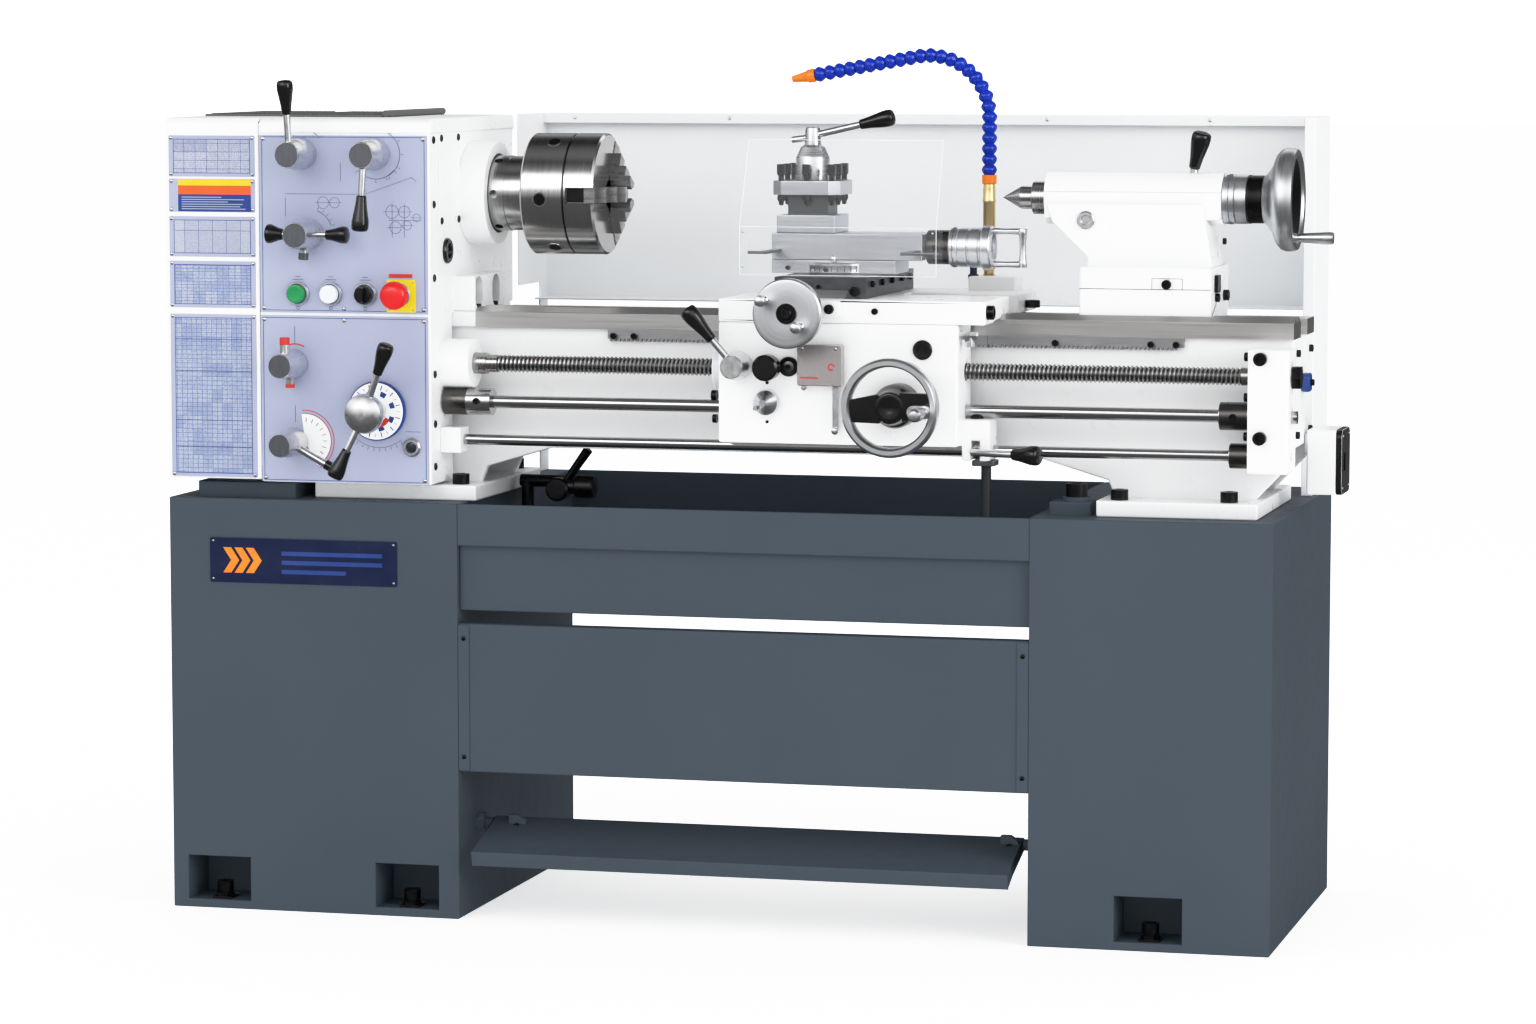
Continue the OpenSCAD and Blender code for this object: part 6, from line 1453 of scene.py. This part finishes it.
def buildCoolant():
    x, y, top = coolant["x"], coolant["y"], coolant["top"]
    pipe, orange, dark, navy = bmesh.new(), bmesh.new(), bmesh.new(), bmesh.new()
    turn(pipe, (x, y, coolant["foot"]), up, [(0, 0), (0, 9), (16, 9), (18, 7.5), (22, 7.5), (24, 9), (118, 9),
                                             (119, 9.6), (123, 9.6), (124, 9),
                                            (138, 9), (145, 8), (145, 0)], 40)
    piece("brassPipe", pipe, brass, "carriage", "blue_plastic", ("coolant_hose",))
    turn(orange, (x, y, top), up, [(0, 0), (0, 9.6), (1, 10.6), (12, 10.6), (13, 9.6), (13, 0)], 40)
    total = coolant["rise"] + coolant["bend"] * math.radians(90 + coolant["tilt"]) + coolant["straight"]
    count = int(total / coolant["pitch"])
    line = [hosePoint(count * coolant["pitch"] * i / 120) for i in range(121)]
    mesh = bpy.data.meshes.new("hoseLinks")
    mesh.from_pydata([((x + u) * mm, y * mm, (top + 20 + w) * mm) for u, w in line],
                     [(i, i + 1) for i in range(120)], [])
    thing = bpy.data.objects.new("hoseLinks", mesh)
    scene.collection.objects.link(thing)
    bm = bmesh.new()
    turn(bm, (0, 0, 0), up, [(-8.4, 0), (-8.4, 6.4), (-7, 7.4), (-4, 9.6), (-1, 10.9), (1.6, 10.9),
                             (4.6, 9.4), (7, 7.0), (8.4, 6.0), (8.4, 0)], 24)
    link = shapeObject("hoseLink", bm)
    runTree(thing, trees["links"], {"Link": link, "Pitch": coolant["pitch"] * mm * 0.9999,
                                    "Finish": linkBlue})
    smooth(thing, 40)
    settle(thing, linkBlue, "carriage", ())
    bpy.data.objects.remove(link)
    u, w = hosePoint(count * coolant["pitch"])
    t = math.radians(-90 - coolant["tilt"])
    way = (math.sin(t), 0, math.cos(t))
    turn(orange, (x + u, y, top + 20 + w), way,
         [(7, 0), (7, 9), (9, 10), (17, 9.6), (19, 8), (36, 5.2), (41, 4.4), (41, 2.6), (30, 2.6), (30, 0)],
         40)
    piece("orangeEnds", orange, nozzleOrange, "carriage", "blue_plastic")
    hose(navy, [(358, 38, 900 + 4 * i) for i in range(7)] + [(358 + 6 * (1 - math.cos(0.26 * i)),
                                                              38 + 4 * (1 - math.cos(0.26 * i)),
                                                              924 + 12 * math.sin(0.26 * i)) for i in range(1,
                                                                      7)]
         + [(372, 46, 938)], 5.2)
    piece("feedHose", navy, navyHose, "carriage", "belt_rubber")
    turn(dark, (358, 38, 899), up, [(0, 0), (0, 8), (5, 8), (6, 7), (6, 0)], 6)
    drop = [(430, -208, 655 - 6 * i) for i in range(22)] + \
           [(398 + 32 * math.cos(math.radians(7.5 * i)), -208,
             528 - 32 * math.sin(math.radians(7.5 * i))) for i in range(13)] + \
           [(398 - 10 * i, -208, 496) for i in range(1, 12)]
    hose(dark, drop, 7)
    piece("supplyHose", dark, rubber, "carriage", "belt_rubber")


buildCoolant()
print("coolant built")

# tailstock
tail = {"barrel": 738, "wheel": 71, "handle": 235}


def buildTailstock():
    casting("tailstockCasting", "tailstock", white, "tailstock", 4)
    solo("tailOilRing", turn, ((553, -134.4, 990), front,
                               [(0, 0), (0, 12.5), (2, 12.5), (3.2, 11), (3.2, 7), (1.4, 6), (1.4, 0)], 48),
                               satin, "tailstock", "satin_chrome")
    bm = bmesh.new()
    block(bm, (549.5, -160.25, 896.6), (731.5, -160, 897.6))
    block(bm, (650, -160.3, 896.6), (650.8, -160, 912))
    block(bm, (692, -160.3, 896.6), (692.8, -160, 912))
    block(bm, (650, -160.3, 911.6), (692.8, -160, 912.4))
    piece("tailJoints", bm, hubFace, "tailstock", "white_paint")
    spots = [((671, -160, 904), front, 4.4), ((732, -120, 885), right, 4), ((732, -60, 960), right, 3),
             ((732, -50, 885), right, 5)]
    spread("tailScrews", spots, "socket", blackSteel, "tailstock", "black_steel")
    solo("tailStop", slab, (roundedOutline(26, 24, 2), (732, -118, 904), back, up, 5), blackSteel,
         "tailstock", "black_steel", bevel=0.8)
    x = tail["barrel"] + 0.2
    dial, black, rim, steel = bmesh.new(), bmesh.new(), bmesh.new(), bmesh.new()
    turn(dial, (x, axisY, axisZ), right, [(0, 0), (0, 32.5), (1, 34), (16, 34), (17, 31.5), (18, 34),
                                          (33, 34), (34.5, 32), (34.5, 0)], 72)
    turn(dial, (x, axisY, axisZ), left, [(0, 0), (0, 8), (19, 8), (19, 0)], 32)
    piece("tailDial", dial, turnedMetal("tailMetal", (0.78, 0.79, 0.81), "X", spindleLine, 0.36, 900, 0.05),
          "tailstock_wheel", "satin_chrome", ("tailstock_wheel",))
    turn(black, (x, axisY, axisZ), right, [(34.6, 0), (34.6, 33.6), (36, 33.9), (38, 33), (54, 33), (55, 32),
                                           (55, 0)], 72)
    r = tail["wheel"]
    turn(black, (x, axisY, axisZ), right, [(76, 20), (97, r - 16), (97, r - 13.2), (78, 28), (73, 20)], 72)
    piece("tailBlackRing", black, blackSteel, "tailstock_wheel", "black_steel")
    turn(rim, (x, axisY, axisZ), right, [(55, 0), (55, 32), (60, 36), (68, 48), (74, r - 8), (80, r - 2),
                                         (86, r), (96, r), (101, r - 2), (102.4, r - 6),
                                      (101, r - 11), (97.4, r - 13), (78.4, 29), (74, 20), (84, 13), (84, 0)],
                                      96)
    piece("tailRim", rim, turnedMetal("tailRimMetal", (0.68, 0.69, 0.71), "X", spindleLine, 0.36, 900, 0.05),
          "tailstock_wheel", "satin_chrome")
    t = math.radians(tail["handle"])
    turn(steel, (x + 96, axisY + (r - 9) * math.cos(t), axisZ + (r - 9) * math.sin(t)), right,
         [(0, 0), (0, 6), (8, 6), (10, 5), (18, 6.4), (38, 8), (54, 9), (59, 8.4), (60, 7), (60, 0)], 32)
    piece("tailHandle", steel, satin, "tailstock_wheel", "satin_chrome")
    ticks = []
    for i in range(50):
        t = math.radians(7.2 * i)
        ticks.append(((x + 9, axisY + 34 * math.cos(t), axisZ + 34 * math.sin(t)),
                      (0, math.cos(t), math.sin(t)), 5 if i % 5 else 9, 90))
    spread("tailDialMarks", ticks, "mark", inkGrey, "tailstock_wheel", "black_plastic")
    lock, stem = bmesh.new(), bmesh.new()
    foot = Vector((695, axisY, 1061))
    a, b = math.radians(14), math.radians(8)
    way = Vector((math.sin(a), -math.sin(b) * math.cos(a), math.cos(a) * math.cos(b)))
    turn(stem, (695, axisY, 1044), up, [(0, 0), (0, 6), (16, 6), (18, 4.5), (20, 0)], 24)
    turn(lock, foot, way, [(t * 52, r * 13.5) for t, r in gripShape], 36)
    piece("quillStem", stem, satin, "quill_lock", "satin_chrome", ("quill_lock",))
    piece("quillGrip", lock, gripBlack, "quill_lock", "black_plastic")
    solo("barrelLip", turn, ((491, axisY, axisZ), left, [(-2, 24), (-2, 33), (0.6, 33), (0.6, 24)], 56),
         white, "tailstock", "white_paint")


buildTailstock()
print("tailstock built")

# guard, switch box and small parts


def buildRest():
    casting("guardSheet", "splash_guard", guardWhite, "stand", 1.2)
    spots = [((x, 258, 1121), front, 3) for x in (-300, -60, 180, 420, 660, 800)]
    spread("guardScrews", spots, "dome", satin, "stand", "bright_steel")
    casting("switchBoxShell", "switch_box", white, "stand", 3)
    solo("switchCover", slab, (roundedOutline(80.8, 90.8, 12), (893.2, -37, 657), back, up, 9.8), gripBlack,
         "stand", "black_plastic", bevel=2, segments=3)
    solo("switchToggle", slab, (roundedOutline(8, 26, 3), (902.8, -50, 657), back, up, 1.4), blackSteel,
         "stand", "red_plastic", bevel=0.5)
    spread("switchScrews", [((902.9, y, z), right, 2) for y in (-68, -6) for z in (621, 693)], "dome", satin,
           "stand", "bright_steel")
    # drain valve under the bed, with its hand wheel and lever
    bm = bmesh.new()
    turn(bm, (-214, -126, 598), back, [(0, 0), (0, 14), (3, 17), (20, 17), (22, 14), (71, 13), (71, 0)], 40)
    turn(bm, (-222, -111, 602), right, [(0, 0), (0, 11), (32, 11), (33, 15), (36, 17), (58, 17), (61, 15),
                                        (62, 0)], 40)
    bar(bm, (-206, -111, 606), (-170, -111, 656), 5.5, 20, 7)
    turn(bm, (-288.5, -55, 604), right, [(0, 0), (0, 9), (84, 9), (84, 0)], 32)
    turn(bm, (-278.5, -55, 480), up, [(0, 0), (0, 9), (125, 9), (125, 0)], 32)
    piece("drainValve", bm, blackSteel, "stand", "black_steel", ("coolant_valve",), bevel=0.6)
    # fins and foot of the motor
    casting("motorBody", "motor", paleGrey, "stand", 1)


buildRest()

# frame parts that stay as they are, in better finishes
kept = {
    "socket_bolts": blackSteel, "rack": rackSteel, "panel_plates": panelGrey, "drive_belts": rubber,
    "spindle": noseSteel, "chuck_body": chuckSteel,
    "stud_gear": gearSteel, "idler_gear": gearSteel, "screw_gear": gearSteel, "input_pulley": gearSteel,
    "motor_pulley": gearSteel,
    "feed_rod": rodSteel, "control_rod": rodSteel, "feed_knob": gripBlack, "axis_knob": satin,
    "quill": noseSteel,
}
for node, finish in kept.items():
    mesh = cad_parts[node].data
    mesh.materials.clear()
    mesh.materials.append(finish)

for shape in shapes.values():
    bpy.data.objects.remove(shape)
print("all pieces built")

# floor
bm = bmesh.new()
block(bm, (-30000, -12000, -12), (30000, 60000, 0))
bmesh.ops.recalc_face_normals(bm, faces=bm.faces)
bmesh.ops.scale(bm, vec=(mm, mm, mm), verts=bm.verts)
floorMesh = bpy.data.meshes.new("studioFloor")
bm.to_mesh(floorMesh)
bm.free()
floor = bpy.data.objects.new("studioFloor", floorMesh)
scene.collection.objects.link(floor)
paperFinish = enamel("floorPaper", studio["floor"], 0.7, 0.0, 0.0, 0.1)
tree = paperFinish.node_tree
shader = next(n for n in tree.nodes if n.type == "BSDF_PRINCIPLED")
shader.inputs["Emission Color"].default_value = (1, 1, 1, 1)
shader.inputs["Emission Strength"].default_value = studio["floorGlow"]
darkFloor = wire(tree, "BsdfDiffuse", ("Color", (studio["floorMirror"],) * 3 + (1,)))
seen = wire(tree, "MixShader", (0, wire(tree, "LightPath").outputs["Is Glossy Ray"]), (1, shader.outputs[0]),
            (2, darkFloor.outputs[0]))
tree.links.new(seen.outputs[0], next(n for n in tree.nodes if n.type == "OUTPUT_MATERIAL").inputs[0])
floor.data.materials.append(paperFinish)
